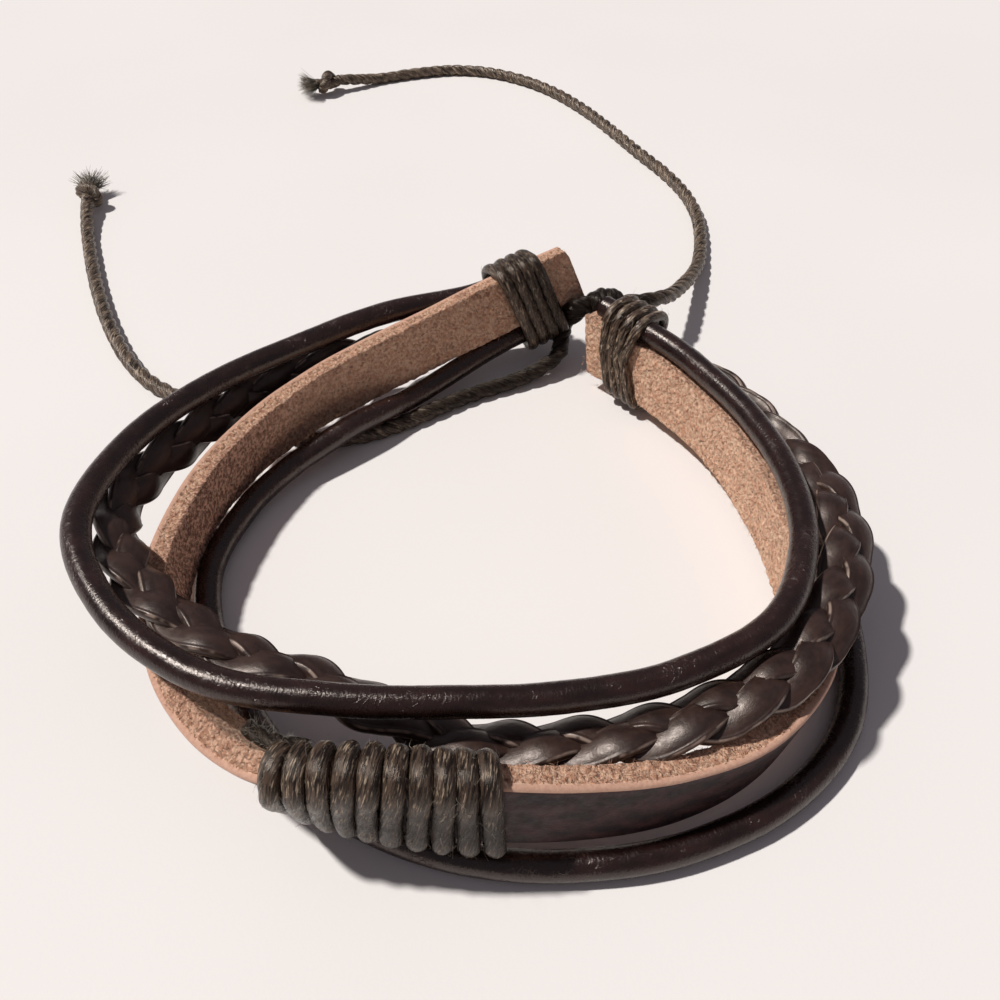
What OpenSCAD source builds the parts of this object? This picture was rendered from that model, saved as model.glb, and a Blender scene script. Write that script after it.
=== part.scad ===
// Braided leather bracelet: a flat strap, a flat three-strand braid and two round cords,
// bound together at both ends and drawn shut by waxed cord that ends in two knotted tails.
// Millimetres, +Z up. It lies on the plane z = 0 with its closure towards +Y.

/* [Loop] */
// Girth of the flat strap's loop, measured along the middle of the strap
loop_girth = 197; // [190:1:205]

/* [Flat strap] */
// Width of the flat strap from its lower to its upper cut edge
strap_width = 7; // [6.4:0.1:7.2]
// Thickness of the flat strap
strap_thickness = 2.3; // [1.6:0.1:2.4]
// Bevel of the strap's four long corners
strap_bevel = 0.3; // [0.1:0.05:0.5]

/* [Round cords] */
// Diameter of the two round leather cords
round_cord_diameter = 2.6; // [2:0.1:2.6]

/* [Braid] */
// Width of the whole flat braid
braid_width = 5.1; // [4.8:0.1:5.6]
// Thickness of the whole flat braid
braid_thickness = 3; // [3:0.1:3.2]
// Width of one strip of the braid
strip_width = 1.8; // [1.5:0.1:1.8]
// Thickness of one strip of the braid
strip_thickness = 1; // [0.8:0.1:1]
// Length in which each strip goes once from side to side and back
braid_pitch = 17.4; // [16:0.2:20]

/* [Waxed cord] */
// Breadth of a wound turn of waxed cord, along the strands that it holds
turn_breadth = 1.4; // [1.2:0.02:1.44]
// Depth of a wound turn of waxed cord, away from the strands that it holds
turn_depth = 0.95; // [0.8:0.05:0.95]
// Distance between neighbouring turns
turn_pitch = 1.74; // [1.74:0.02:1.8]
// Turns in the wrap at the front of the strap
wrap_turns = 10; // [7:1:10]
// Turns in the binding at each end
binding_turns = 4; // [3:1:4]
// Diameter of the waxed cord where it runs free
tail_diameter = 1.7; // [1.4:0.1:1.8]

/* [Hidden] */

// Colours of the materials
SUEDE_TAN = [0.72, 0.5, 0.4];
LEATHER_DARK = [0.19, 0.13, 0.12];
BRAID_BROWN = [0.27, 0.21, 0.19];
WAXED_CORD_OLIVE = [0.27, 0.24, 0.2];

// Rings along each kind of strand, and sides of each kind of section
STRAP_RINGS = 58;
ROUND_CORD_RINGS = 50;
ROUND_CORD_SIDES = 10;
BRAID_RINGS = 124;
STRIP_SIDES = 6;
TAIL_SIDES = 8;
TURN_SIDES = 6;
STEPS_A_CORNER = 3;
STEPS_A_TURN = 4 * STEPS_A_CORNER;
TAIL_RING_PITCH = 2.4 * tail_diameter;
FEWEST_RINGS = 7;
KNOT_RINGS = 12;
KNOT_SIDES = 8;

// Gap that keeps neighbouring pieces apart, and the one under the wound turns
gap = 0.1;
seat_gap = 0.16;

// The tables' girth at which their radii hold, and the middle of the bracelet's outline in them
TABLE_GIRTH = 197;
girth_scale = loop_girth / TABLE_GIRTH;
outline_middle = [0.39, 0.94];

// Columns of the tables of sections: ANGLE round the loop in degrees from +X, RADIUS from its middle,
// HEIGHT of the strand's middle line, and LEAN of its upper edge outwards in degrees, which stays in
// its place once a row has become [x, y, z, lean]
ANGLE = 0;
RADIUS = 1;
HEIGHT = 2;
LEAN = 3;

STRAP_SECTIONS = [
    [73, 37.4, 10.6, 10],
    [82, 32.8, 9.4, 10],
    [92, 29.6, 8.1, 9],
    [105, 26.9, 7.0, 7],
    [122, 25.2, 6.3, 4],
    [140, 25.2, 5.8, 0],
    [160, 26.4, 5.4, -4],
    [180, 28.3, 5.3, -2],
    [200, 31.0, 5.1, 4],
    [218, 32.8, 5.6, 16],
    [232, 33.8, 6.7, 30],
    [245, 34.9, 8.0, 24],
    [257, 34.5, 9.0, 2],
    [270, 34.1, 8.3, -6],
    [284, 34.4, 6.6, -5],
    [298, 35.6, 5.3, 0],
    [312, 36.6, 4.8, 8],
    [328, 35.8, 4.5, 10],
    [346, 32.1, 4.4, 5],
    [365, 29.9, 4.6, 6],
    [385, 29.2, 5.0, 8],
    [405, 29.4, 5.3, 10],
    [424, 31.6, 5.5, 10]
];

UPPER_CORD_SECTIONS = [
    [112, 29.5, 10.4, 0],
    [135, 28.4, 11.0, 0],
    [158, 30.6, 11.9, 0],
    [178, 33.9, 12.8, 0],
    [196, 36.6, 13.4, 0],
    [214, 35.6, 13.4, 0],
    [232, 33.2, 12.9, 0],
    [250, 29.6, 12.5, 0],
    [268, 27.8, 12.1, 0],
    [286, 28.0, 11.5, 0],
    [304, 29.8, 11.3, 0],
    [322, 32.2, 11.9, 0],
    [340, 31.7, 11.5, 0],
    [358, 30.6, 10.9, 0],
    [376, 29.8, 10.5, 0],
    [392, 29.7, 10.3, 0]
];

LOWER_CORD_SECTIONS = [
    [108, 23.5, 2.3, 0],
    [120, 21.5, 2.9, 0],
    [132, 20.9, 3.3, 0],
    [145, 21.4, 2.9, 0],
    [158, 23.0, 2.2, 0],
    [172, 25.0, 1.5, 0],
    [190, 27.2, 1.32, 0],
    [208, 28.3, 1.3, 0],
    [226, 29.4, 1.3, 0],
    [242, 31.6, 1.3, 0],
    [256, 33.6, 1.3, 0],
    [270, 35.3, 1.3, 0],
    [284, 36.9, 1.3, 0],
    [298, 38.7, 1.3, 0],
    [312, 40.2, 1.3, 0],
    [325, 40.4, 1.3, 0],
    [338, 38.5, 1.3, 0],
    [352, 35.9, 1.35, 0],
    [368, 33.8, 1.7, 0],
    [386, 32.7, 2.4, 0]
];

BRAID_SECTIONS = [
    [112, 28.9, 5.5, 9], [127, 28.3, 6.6, 10], [148, 29.2, 7.6, 18], [168, 31.2, 8.5, 18],
    [184, 34, 9.2, 28], [197, 33.7, 10.5, 56], [211, 32, 11, 68], [227, 29.4, 10.4, 66],
    [243, 26.8, 9.1, 64], [257, 27, 7.9, 66], [271, 28.7, 7.6, 72], [284, 29.8, 7.9, 74],
    [297, 31.9, 8.9, 78], [310, 33.9, 9.6, 84], [322, 35.3, 9.8, 93], [335, 35.8, 9.5, 103],
    [347, 35.9, 9.1, 106], [359, 34.9, 8.4, 90], [371, 33.3, 7, 38], [384, 33, 6.4, 16],
    [394, 32.8, 6.3, 12],
];

// Routes of the two free tails, from the exit to the knot, laid on the surface
TAIL_RIGHT_ROUTE = [
    [17.7, 34.1, 7.4], [21, 34.8, 7.2], [23.6, 36.8, 6.4], [25.4, 39.7, 5.2], [27.2, 43.4, 4],
    [29, 47.4, 2.8], [30.6, 51.6, 1.8], [31.8, 56, 1.1], [32.8, 62, 0.9], [33.1, 68.4, 0.9],
    [32.2, 75.2, 0.9], [29.8, 82.4, 0.9], [26.2, 90, 0.9], [22.4, 98.5, 0.9], [18.2, 107, 0.9],
    [13, 115, 0.9], [7, 121, 0.9], [0, 125, 0.9], [-7, 126, 0.9], [-14, 124.5, 0.9],
    [-20.5, 122, 0.9], [-24.5, 119.9, 1.5], [-28, 118.2, 2.1]
];
TAIL_LEFT_ROUTE = [
    [10.4, 32.4, 3.8], [10, 30, 2.7], [7.2, 27.8, 1.6], [3.6, 26, 1], [-1, 23.8, 0.9],
    [-5, 21.2, 0.9], [-9.4, 18.2, 0.9], [-14, 16, 0.9], [-19, 15.5, 0.9], [-25, 17, 0.9],
    [-31.3, 20.2, 0.9], [-37, 23.2, 0.9], [-41.8, 26.8, 0.9], [-45.6, 31.4, 0.9],
    [-48.8, 36.6, 0.9], [-51.8, 42.4, 0.9], [-54.6, 48.6, 0.9], [-57.2, 55, 0.9],
    [-59.6, 61.4, 0.9], [-61.2, 66.6, 1.5], [-62, 70.2, 2.1]
];

// Where the turns begin along the strap from its left end, and how far ends stand out of the bindings
left_binding_start = 3.4;
wrap_start = 93.3;
right_stub = 2.4;
strand_end_overhang = 0.3;
cord_stub = 2.2;

// Places in the end bundles, in the strap's own section: up along its width, out from its middle
beside_strap = strap_thickness / 2 + gap;
cord_reach = round_cord_diameter / 2;
beside_braid = beside_strap + braid_thickness / 2;
bundle_outside = beside_strap + braid_thickness + gap;
cord_below_edge = 0.9;
braid_below_cord = 3.2;
upper_seat_left = [strap_width / 2 - cord_reach - cord_below_edge, beside_strap + cord_reach];
braid_seat_left = [upper_seat_left[0] - cord_reach - gap - braid_width / 2, beside_braid];
lower_seat_left = [-strap_width / 2 - seat_gap - cord_reach, -0.2];
upper_seat_right = [strap_width / 2 + gap + cord_reach, 0.4];
braid_seat_right = [upper_seat_right[0] - braid_below_cord, beside_braid];
lower_seat_right = [-strap_width / 2 + cord_reach, beside_strap + cord_reach];

// Rounding of the bundles' corners: top outer, bottom outer, bottom inner, top inner
WRAP_CORNERS = [strap_bevel, strap_bevel, strap_bevel, strap_bevel];
LEFT_BINDING_CORNERS = [2.4, 1.6, 1.2, strap_bevel];
RIGHT_BINDING_CORNERS = [1.6, 0.8, strap_bevel, 1.3];

// Girth and length of the knots that end the tails, and of the knot in the closure
tail_knot_girth = 4.2;
tail_knot_length = 8;
tail_knot_fray = 0.45;
closure_knot_girth = 3.8;
closure_knot_length = 4;

// A row of a table read at a fractional place u, on a smooth curve through all of its rows
function row_at(rows, i) = rows[max(0, min(len(rows) - 1, i))];
function smooth_row(rows, u) =
    let (
        i = min(floor(u), len(rows) - 2),
        t = u - i,
        a = row_at(rows, i - 1),
        b = row_at(rows, i),
        c = row_at(rows, i + 1),
        d = row_at(rows, i + 2)
    )
    (2 * b + (c - a) * t + (2 * a - 5 * b + 4 * c - d) * t * t + (3 * b - a - 3 * c + d) * t * t * t) / 2;
function smooth_rows(rows, count) =
    [for (k = [0 : count - 1]) smooth_row(rows, k * (len(rows) - 1) / (count - 1))];

// A row of a table as [x, y, z, lean] in the bracelet's frame
function seated(row) = [
    girth_scale * row[RADIUS] * cos(row[ANGLE]) - outline_middle[0],
    girth_scale * row[RADIUS] * sin(row[ANGLE]) - outline_middle[1],
    row[HEIGHT],
    row[LEAN]
];
function spot(row) = [row[0], row[1], row[2]];
function spots(rows) = [for (row = rows) spot(row)];

// Lengths along a run of points
function run_lengths(points, k = 0, so_far = 0) =
    k >= len(points) - 1 ? [so_far]
    : concat([so_far], run_lengths(points, k + 1, so_far + norm(points[k + 1] - points[k])));
function last(values) = values[len(values) - 1];

// Directions at a point of a run: ahead along it, level outwards, and up across it
function unit(v) = v / norm(v);
function ahead(points, k) = unit(points[min(k + 1, len(points) - 1)] - points[max(k - 1, 0)]);
function outward(heading) = unit([heading[1], -heading[0], 0]);
function upward(heading) = cross(outward(heading), heading);

// The same two directions on a section whose upper edge leans outwards by lean degrees
function widthwise(heading, lean) = upward(heading) * cos(lean) + outward(heading) * sin(lean);
function depthwise(heading, lean) = outward(heading) * cos(lean) - upward(heading) * sin(lean);

// The strap's middle line, which the bundles, bindings and wrap are placed by
strap_rows = smooth_rows([for (row = STRAP_SECTIONS) seated(row)], STRAP_RINGS);
strap_spots = spots(strap_rows);
strap_lengths = run_lengths(strap_spots);
strap_length = last(strap_lengths);
function strap_value(s, column) =
    lookup(s, [for (k = [0 : STRAP_RINGS - 1]) [strap_lengths[k], strap_rows[k][column]]]);
function strap_spot(s) = [strap_value(s, 0), strap_value(s, 1), strap_value(s, 2)];
function strap_heading(s) = unit(strap_spot(s + 1) - strap_spot(s - 1));
function strap_wide(s) = widthwise(strap_heading(s), strap_value(s, LEAN));
function strap_deep(s) = depthwise(strap_heading(s), strap_value(s, LEAN));
function by_strap(s, seat) = strap_spot(s) + strap_wide(s) * seat[0] + strap_deep(s) * seat[1];
function seat_row(s, seat) = let (p = by_strap(s, seat)) [p[0], p[1], p[2], strap_value(s, LEAN)];

// Lengths along the strap at which the bindings and the wrap begin and end
binding_length = binding_turns * turn_pitch;
past_binding = binding_length + 1;
right_binding_end = strap_length - right_stub;

// The whole run of a strand: seated in the left bundle, along its table, seated in the right bundle
function strand_rows(table, seat_left, seat_right, overhang_right) = concat(
    [for (s = [-strand_end_overhang, past_binding]) seat_row(left_binding_start + s, seat_left)],
    [for (row = table) seated(row)],
    [for (s = [past_binding, -overhang_right]) seat_row(right_binding_end - s, seat_right)]
);

// A closed skin over rings of points, with a flat cap at each end
module sweep(rings) {
    sides = len(rings[0]);
    count = len(rings);
    walls = [
        for (k = [0 : count - 2], j = [0 : sides - 1])
            let (a = k * sides + j, b = k * sides + (j + 1) % sides)
            each [[a, a + sides, b + sides], [a, b + sides, b]]
    ];
    first_cap = [for (j = [0 : sides - 1]) j];
    last_cap = [for (j = [sides - 1 : -1 : 0]) (count - 1) * sides + j];
    polyhedron([for (ring = rings) each ring], concat(walls, [first_cap, last_cap]), convexity = 10);
}

// Rings of one section along rows of [x, y, z, lean]; the section is a list of [up, out] places
function rings_along(rows, section) =
    let (points = spots(rows))
    [
        for (k = [0 : len(rows) - 1])
            let (
                h = ahead(points, k),
                wide = widthwise(h, rows[k][LEAN]),
                deep = depthwise(h, rows[k][LEAN])
            )
            [for (p = section) points[k] + wide * p[0] + deep * p[1]]
    ];
function oval(breadth, depth, sides) =
    [for (j = [0 : sides - 1]) [breadth / 2 * cos(360 * j / sides), depth / 2 * sin(360 * j / sides)]];
function bevelled(breadth, depth, bevel) =
    let (w = breadth / 2, d = depth / 2)
    [
        [w, -d + bevel], [w, d - bevel], [w - bevel, d], [-w + bevel, d],
        [-w, d - bevel], [-w, -d + bevel], [-w + bevel, -d], [w - bevel, -d]
    ];

// Turns of waxed cord round a core, given by its lowest and highest places in the strap's section
// and by how far its four corners are rounded: top outer, bottom outer, bottom inner, top inner
module winding(start, turns, low, high, corners) {
    middle = (high + low) / 2;
    rings = [
        for (step = [0 : turns * STEPS_A_TURN - 1])
            let (
                quarter = floor(step / STEPS_A_CORNER) % 4,
                corner = corners[quarter],
                angle = 90 * quarter + 90 * (step % STEPS_A_CORNER) / (STEPS_A_CORNER - 1),
                side = [quarter == 0 || quarter == 3 ? 1 : -1, quarter < 2 ? 1 : -1],
                facing = [cos(angle), sin(angle)],
                bend = [side[0] * ((high[0] - low[0]) / 2 - corner), side[1] * ((high[1] - low[1]) / 2 - corner)],
                seat = middle + bend + (corner + seat_gap + turn_depth / 2) * facing,
                s = start + turn_pitch * (0.5 + step * (turns - 1) / (turns * STEPS_A_TURN - 1)),
                heading = strap_heading(s),
                outside = strap_wide(s) * facing[0] + strap_deep(s) * facing[1]
            )
            [
                for (p = oval(turn_breadth, turn_depth, TURN_SIDES))
                    by_strap(s, seat) + heading * p[0] + outside * p[1]
            ]
    ];
    sweep(rings);
}

// A round leather cord over its whole run
module round_cord(table, seat_left, seat_right, overhang_right) {
    rows = smooth_rows(strand_rows(table, seat_left, seat_right, overhang_right), ROUND_CORD_RINGS);
    sweep(rings_along(rows, oval(round_cord_diameter, round_cord_diameter, ROUND_CORD_SIDES)));
}

// One strip of the flat braid: it swings from side to side and passes over and under the others
module braid_strip(lag) {
    rows = smooth_rows(strand_rows(BRAID_SECTIONS, braid_seat_left, braid_seat_right, strand_end_overhang),
        BRAID_RINGS);
    points = spots(rows);
    lengths = run_lengths(points);
    swing = (braid_width - strip_width) / 2;
    rise = (braid_thickness - strip_thickness) / 2;
    rings = [
        for (k = [0 : BRAID_RINGS - 1])
            let (
                h = ahead(points, k),
                wide = widthwise(h, rows[k][LEAN]),
                deep = depthwise(h, rows[k][LEAN]),
                phase = 360 * lengths[k] / braid_pitch + lag,
                middle = points[k] + wide * swing * cos(phase) - deep * rise * sin(2 * phase)
            )
            [for (p = oval(strip_width, strip_thickness, STRIP_SIDES)) middle + wide * p[0] + deep * p[1]]
    ];
    sweep(rings);
}

// A round tube of waxed cord on a smooth curve through a few points
module waxed_tube(route) {
    rough = smooth_rows(route, 4 * len(route));
    rings = max(FEWEST_RINGS, round(last(run_lengths(rough)) / TAIL_RING_PITCH));
    rows = [for (p = smooth_rows(route, rings)) [p[0], p[1], p[2], 0]];
    sweep(rings_along(rows, oval(tail_diameter, tail_diameter, TAIL_SIDES)));
}

// A knot along the line from one point to another: lumps of cord, then a frayed end
module lumpy_knot(from, to, girth, lumps, fray_share) {
    h = unit(to - from);
    thin = tail_diameter / 2;
    rings = [
        for (k = [0 : KNOT_RINGS - 1])
            let (
                u = k / (KNOT_RINGS - 1),
                v = min(1, u / (1 - fray_share)),
                w = max(0, 1 - (1 - u) / max(fray_share, 0.01)),
                radius = thin + (girth / 2 - thin) * max(abs(sin(180 * lumps * v)) ^ 0.6, 0.8 * w)
            )
            [
                for (j = [0 : KNOT_SIDES - 1])
                    let (a = 360 * j / KNOT_SIDES)
                    from + (to - from) * u + (upward(h) * cos(a) + outward(h) * sin(a)) * radius
            ]
    ];
    sweep(rings);
}

// Tail routes moved into the bracelet's frame
function laid(route) =
    [for (p = route) [girth_scale * p[0] - outline_middle[0], girth_scale * p[1] - outline_middle[1], p[2]]];
tail_right_route = laid(TAIL_RIGHT_ROUTE);
tail_left_route = laid(TAIL_LEFT_ROUTE);

// Points of the closure: its knot lies on the line of the right tail, the left cord runs straight into
// it from below the strap's end, and the right cord comes to its side from between the bound strands
closure_ahead = unit(tail_right_route[1] - tail_right_route[0]);
closure_knot_end = tail_right_route[0] - gap * closure_ahead;
closure_knot_start = closure_knot_end - closure_knot_length * closure_ahead;
closure_left_start = by_strap(left_binding_start - 1.4, [-strap_width / 2 - 1.8, 0.6]);
closure_left_end = closure_knot_start - gap * closure_ahead;
closure_lead = 1.4 * closure_ahead;
closure_right_seat = [2.8, beside_strap + 1.7];

module flat_strap() {
    color(SUEDE_TAN) sweep(rings_along(strap_rows, bevelled(strap_width, strap_thickness, strap_bevel)));
}

module round_cord_upper() {
    color(LEATHER_DARK) round_cord(UPPER_CORD_SECTIONS, upper_seat_left, upper_seat_right, cord_stub);
}

module round_cord_lower() {
    color(LEATHER_DARK)
        round_cord(LOWER_CORD_SECTIONS, lower_seat_left, lower_seat_right, strand_end_overhang);
}

module braid_strand_a() {
    color(BRAID_BROWN) braid_strip(0);
}

module braid_strand_b() {
    color(BRAID_BROWN) braid_strip(120);
}

module braid_strand_c() {
    color(BRAID_BROWN) braid_strip(240);
}

module front_wrap() {
    high = [strap_width, strap_thickness] / 2;
    color(WAXED_CORD_OLIVE) winding(girth_scale * wrap_start, wrap_turns, -high, high, WRAP_CORNERS);
}

module left_binding() {
    low = lower_seat_left - [cord_reach, cord_reach];
    high = [strap_width / 2, bundle_outside];
    color(WAXED_CORD_OLIVE) winding(left_binding_start, binding_turns, low, high, LEFT_BINDING_CORNERS);
}

module right_binding() {
    low = -[strap_width, strap_thickness] / 2;
    high = [upper_seat_right[0] + cord_reach, bundle_outside];
    color(WAXED_CORD_OLIVE)
        winding(right_binding_end - binding_length, binding_turns, low, high, RIGHT_BINDING_CORNERS);
}

module closure_cord_left() {
    color(WAXED_CORD_OLIVE)
        waxed_tube([
            closure_left_start,
            (closure_left_start + closure_left_end - closure_lead) / 2,
            closure_left_end - closure_lead,
            closure_left_end
        ]);
}

module closure_cord_right() {
    color(WAXED_CORD_OLIVE)
        waxed_tube([
            by_strap(right_binding_end + 0.6, closure_right_seat),
            by_strap(right_binding_end + 1.6, closure_right_seat),
            closure_knot_start + [1.9, -1.95, 0]
        ]);
}

module closure_knot() {
    color(WAXED_CORD_OLIVE) lumpy_knot(closure_knot_start, closure_knot_end, closure_knot_girth, 2, 0);
}

// A free tail's knot, level from the tail's last point on
module tail_knot(route) {
    end = last(route);
    step = end - route[len(route) - 2];
    onward = unit([step[0], step[1], 0]);
    lumpy_knot(end + gap * onward, end + tail_knot_length * onward, tail_knot_girth, 1, tail_knot_fray);
}

module tail_left() {
    color(WAXED_CORD_OLIVE) waxed_tube(tail_left_route);
}

module tail_left_knot() {
    color(WAXED_CORD_OLIVE) tail_knot(tail_left_route);
}

module tail_right() {
    color(WAXED_CORD_OLIVE) waxed_tube(tail_right_route);
}

module tail_right_knot() {
    color(WAXED_CORD_OLIVE) tail_knot(tail_right_route);
}

flat_strap();
round_cord_upper();
round_cord_lower();
braid_strand_a();
braid_strand_b();
braid_strand_c();
front_wrap();
left_binding();
right_binding();
closure_cord_left();
closure_cord_right();
closure_knot();
tail_left();
tail_left_knot();
tail_right();
tail_right_knot();
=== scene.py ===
"""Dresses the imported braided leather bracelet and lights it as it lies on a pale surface.

Every length below is in millimetres and becomes metres in the meshes. The strands follow the same
tables as the solids, so each dressed piece lies where its solid lies.
"""
import logging
import math
from dataclasses import dataclass, field
from enum import Enum

import bpy
import numpy as np
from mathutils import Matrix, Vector


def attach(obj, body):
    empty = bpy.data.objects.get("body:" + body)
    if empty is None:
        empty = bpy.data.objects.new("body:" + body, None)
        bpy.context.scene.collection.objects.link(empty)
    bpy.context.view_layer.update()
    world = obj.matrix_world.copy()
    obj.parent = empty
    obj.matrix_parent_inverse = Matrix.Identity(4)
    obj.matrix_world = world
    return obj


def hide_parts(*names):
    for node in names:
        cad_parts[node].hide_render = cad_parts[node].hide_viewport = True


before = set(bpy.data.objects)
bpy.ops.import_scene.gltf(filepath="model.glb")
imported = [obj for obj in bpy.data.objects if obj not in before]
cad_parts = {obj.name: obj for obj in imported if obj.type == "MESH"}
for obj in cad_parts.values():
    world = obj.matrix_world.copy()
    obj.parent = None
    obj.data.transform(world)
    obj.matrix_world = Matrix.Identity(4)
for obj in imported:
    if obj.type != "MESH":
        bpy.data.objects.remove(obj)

Array = np.ndarray
Chance = np.random.Generator
Colour = tuple[float, float, float]
Pair = tuple[float, float]
Material = bpy.types.Material
Socket = bpy.types.NodeSocket
Thing = bpy.types.Object

LOG = logging.getLogger("bracelet")
MM = 0.001
UP = (0, 0, 1)
WHITE = (1.0, 1.0, 1.0)

# Places of the camera and the light, in the bracelet's frame
CAMERA_PLACE = (2.11, -69.94, 75.3)
CAMERA_TILT = 45.0
CAMERA_LENS = 34.56
CAMERA_SENSOR = 36.0
LIGHT_PATH = (0.62, -0.10, -1.0)

# Middle of the bracelet's outline in the tables
OUTLINE_MIDDLE = (0.39, 0.94)

# Sections along the strands: angle round the loop in degrees, radius, height, lean outwards in degrees
STRAP_SECTIONS = (
    (73, 37.4, 10.6, 10), (82, 32.8, 9.4, 10), (92, 29.6, 8.1, 9), (105, 26.9, 7.0, 7),
    (122, 25.2, 6.3, 4), (140, 25.2, 5.8, 0), (160, 26.4, 5.4, -4), (180, 28.3, 5.3, -2),
    (200, 31.0, 5.1, 4), (218, 32.8, 5.6, 16), (232, 33.8, 6.7, 30), (245, 34.9, 8.0, 24),
    (257, 34.5, 9.0, 2), (270, 34.1, 8.3, -6), (284, 34.4, 6.6, -5), (298, 35.6, 5.3, 0),
    (312, 36.6, 4.8, 8), (328, 35.8, 4.5, 10), (346, 32.1, 4.4, 5), (365, 29.9, 4.6, 6),
    (385, 29.2, 5.0, 8), (405, 29.4, 5.3, 10), (424, 31.6, 5.5, 10),
)
UPPER_CORD_SECTIONS = (
    (112, 29.5, 10.4, 0), (135, 28.4, 11.0, 0), (158, 30.6, 11.9, 0), (178, 33.9, 12.8, 0),
    (196, 36.6, 13.4, 0), (214, 35.6, 13.4, 0), (232, 33.2, 12.9, 0), (250, 29.6, 12.5, 0),
    (268, 27.8, 12.1, 0), (286, 28.0, 11.5, 0), (304, 29.8, 11.3, 0), (322, 32.2, 11.9, 0),
    (340, 31.7, 11.5, 0), (358, 30.6, 10.9, 0), (376, 29.8, 10.5, 0), (392, 29.7, 10.3, 0),
)
LOWER_CORD_SECTIONS = (
    (108, 23.5, 2.3, 0), (120, 21.5, 2.9, 0), (132, 20.9, 3.3, 0), (145, 21.4, 2.9, 0),
    (158, 23.0, 2.2, 0), (172, 25.0, 1.5, 0), (190, 27.2, 1.32, 0), (208, 28.3, 1.3, 0),
    (226, 29.4, 1.3, 0), (242, 31.6, 1.3, 0), (256, 33.6, 1.3, 0), (270, 35.3, 1.3, 0),
    (284, 36.9, 1.3, 0), (298, 38.7, 1.3, 0), (312, 40.2, 1.3, 0), (325, 40.4, 1.3, 0),
    (338, 38.5, 1.3, 0), (352, 35.9, 1.35, 0), (368, 33.8, 1.7, 0), (386, 32.7, 2.4, 0),
)
BRAID_SECTIONS = (
    (112, 28.9, 5.5, 9), (127, 28.3, 6.6, 10), (148, 29.2, 7.6, 18), (168, 31.2, 8.5, 18),
    (184, 34, 9.2, 28), (197, 33.7, 10.5, 56), (211, 32, 11, 68), (227, 29.4, 10.4, 66),
    (243, 26.8, 9.1, 64), (257, 27, 7.9, 66), (271, 28.7, 7.6, 72), (284, 29.8, 7.9, 74),
    (297, 31.9, 8.9, 78), (310, 33.9, 9.6, 84), (322, 35.3, 9.8, 93), (335, 35.8, 9.5, 103),
    (347, 35.9, 9.1, 106), (359, 34.9, 8.4, 90), (371, 33.3, 7, 38), (384, 33, 6.4, 16),
    (394, 32.8, 6.3, 12),
)

# Routes of the two free tails, from the exit to the knot
TAIL_RIGHT_ROUTE = (
    (17.7, 34.1, 7.4), (21, 34.8, 7.2), (23.6, 36.8, 6.4), (25.4, 39.7, 5.2), (27.2, 43.4, 4),
    (29, 47.4, 2.8), (30.6, 51.6, 1.8), (31.8, 56, 1.1), (32.8, 62, 0.9), (33.1, 68.4, 0.9),
    (32.2, 75.2, 0.9), (29.8, 82.4, 0.9), (26.2, 90, 0.9), (22.4, 98.5, 0.9), (18.2, 107, 0.9),
    (13, 115, 0.9), (7, 121, 0.9), (0, 125, 0.9), (-7, 126, 0.9), (-14, 124.5, 0.9),
    (-20.5, 122, 0.9), (-24.5, 119.9, 1.5), (-28, 118.2, 2.1),
)
TAIL_LEFT_ROUTE = (
    (10.4, 32.4, 3.8), (10, 30, 2.7), (7.2, 27.8, 1.6), (3.6, 26, 1), (-1, 23.8, 0.9),
    (-5, 21.2, 0.9), (-9.4, 18.2, 0.9), (-14, 16, 0.9), (-19, 15.5, 0.9), (-25, 17, 0.9),
    (-31.3, 20.2, 0.9), (-37, 23.2, 0.9), (-41.8, 26.8, 0.9), (-45.6, 31.4, 0.9),
    (-48.8, 36.6, 0.9), (-51.8, 42.4, 0.9), (-54.6, 48.6, 0.9), (-57.2, 55, 0.9),
    (-59.6, 61.4, 0.9), (-61.2, 66.6, 1.5), (-62, 70.2, 2.1),
)

# Driving sizes of the strands and of the turns round them
STRAP_WIDTH = 7.0
STRAP_THICKNESS = 2.3
CORD_DIAMETER = 2.6
BRAID_WIDTH = 5.1
BRAID_THICKNESS = 3.0
BRAID_PITCH = 17.4
TURN_PITCH = 1.74
GAP = 0.1
SEAT_GAP = 0.16
HALF_WIDTH = STRAP_WIDTH / 2
HALF_THICKNESS = STRAP_THICKNESS / 2
REACH = CORD_DIAMETER / 2

# Rows on the smooth lines of the strap, the strands, the tails, their knots and short ends
STRAP_ROWS = 1600
STRAND_ROWS = 1400
TAIL_ROWS = 900
KNOT_ROWS = 160
SHORT_ROWS = 60


def unit(v: Array) -> Array:
    """Vectors scaled to length one, along the last axis."""
    return v / np.maximum(np.linalg.norm(v, axis=-1, keepdims=True), 1e-12)


def lengths_along(points: Array) -> Array:
    """The length from a line's first point to each of its points."""
    return np.r_[0, np.cumsum(np.linalg.norm(np.diff(points, axis=0), axis=1))]


def read(at: Array, lengths: Array, rows: Array) -> Array:
    """Rows of values read at any lengths, in straight steps between them."""
    return np.stack([np.interp(at, lengths, column) for column in rows.T], axis=-1)


def circle(sides: int) -> Array:
    """Even angles once round, for the sides of a section."""
    return np.linspace(0, 2 * np.pi, sides, endpoint=False)


def fade(away: Array, reach: float) -> Array:
    """A share that falls evenly from one to nothing over a reach."""
    return np.clip(1 - away / reach, 0, 1)


def hump(place: Array, middle: float, reach: float, power: int = 2) -> Array:
    """A share that is one at a middle place and dies away smoothly past its reach."""
    return np.exp(-((place - middle) / reach)**power)


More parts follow.
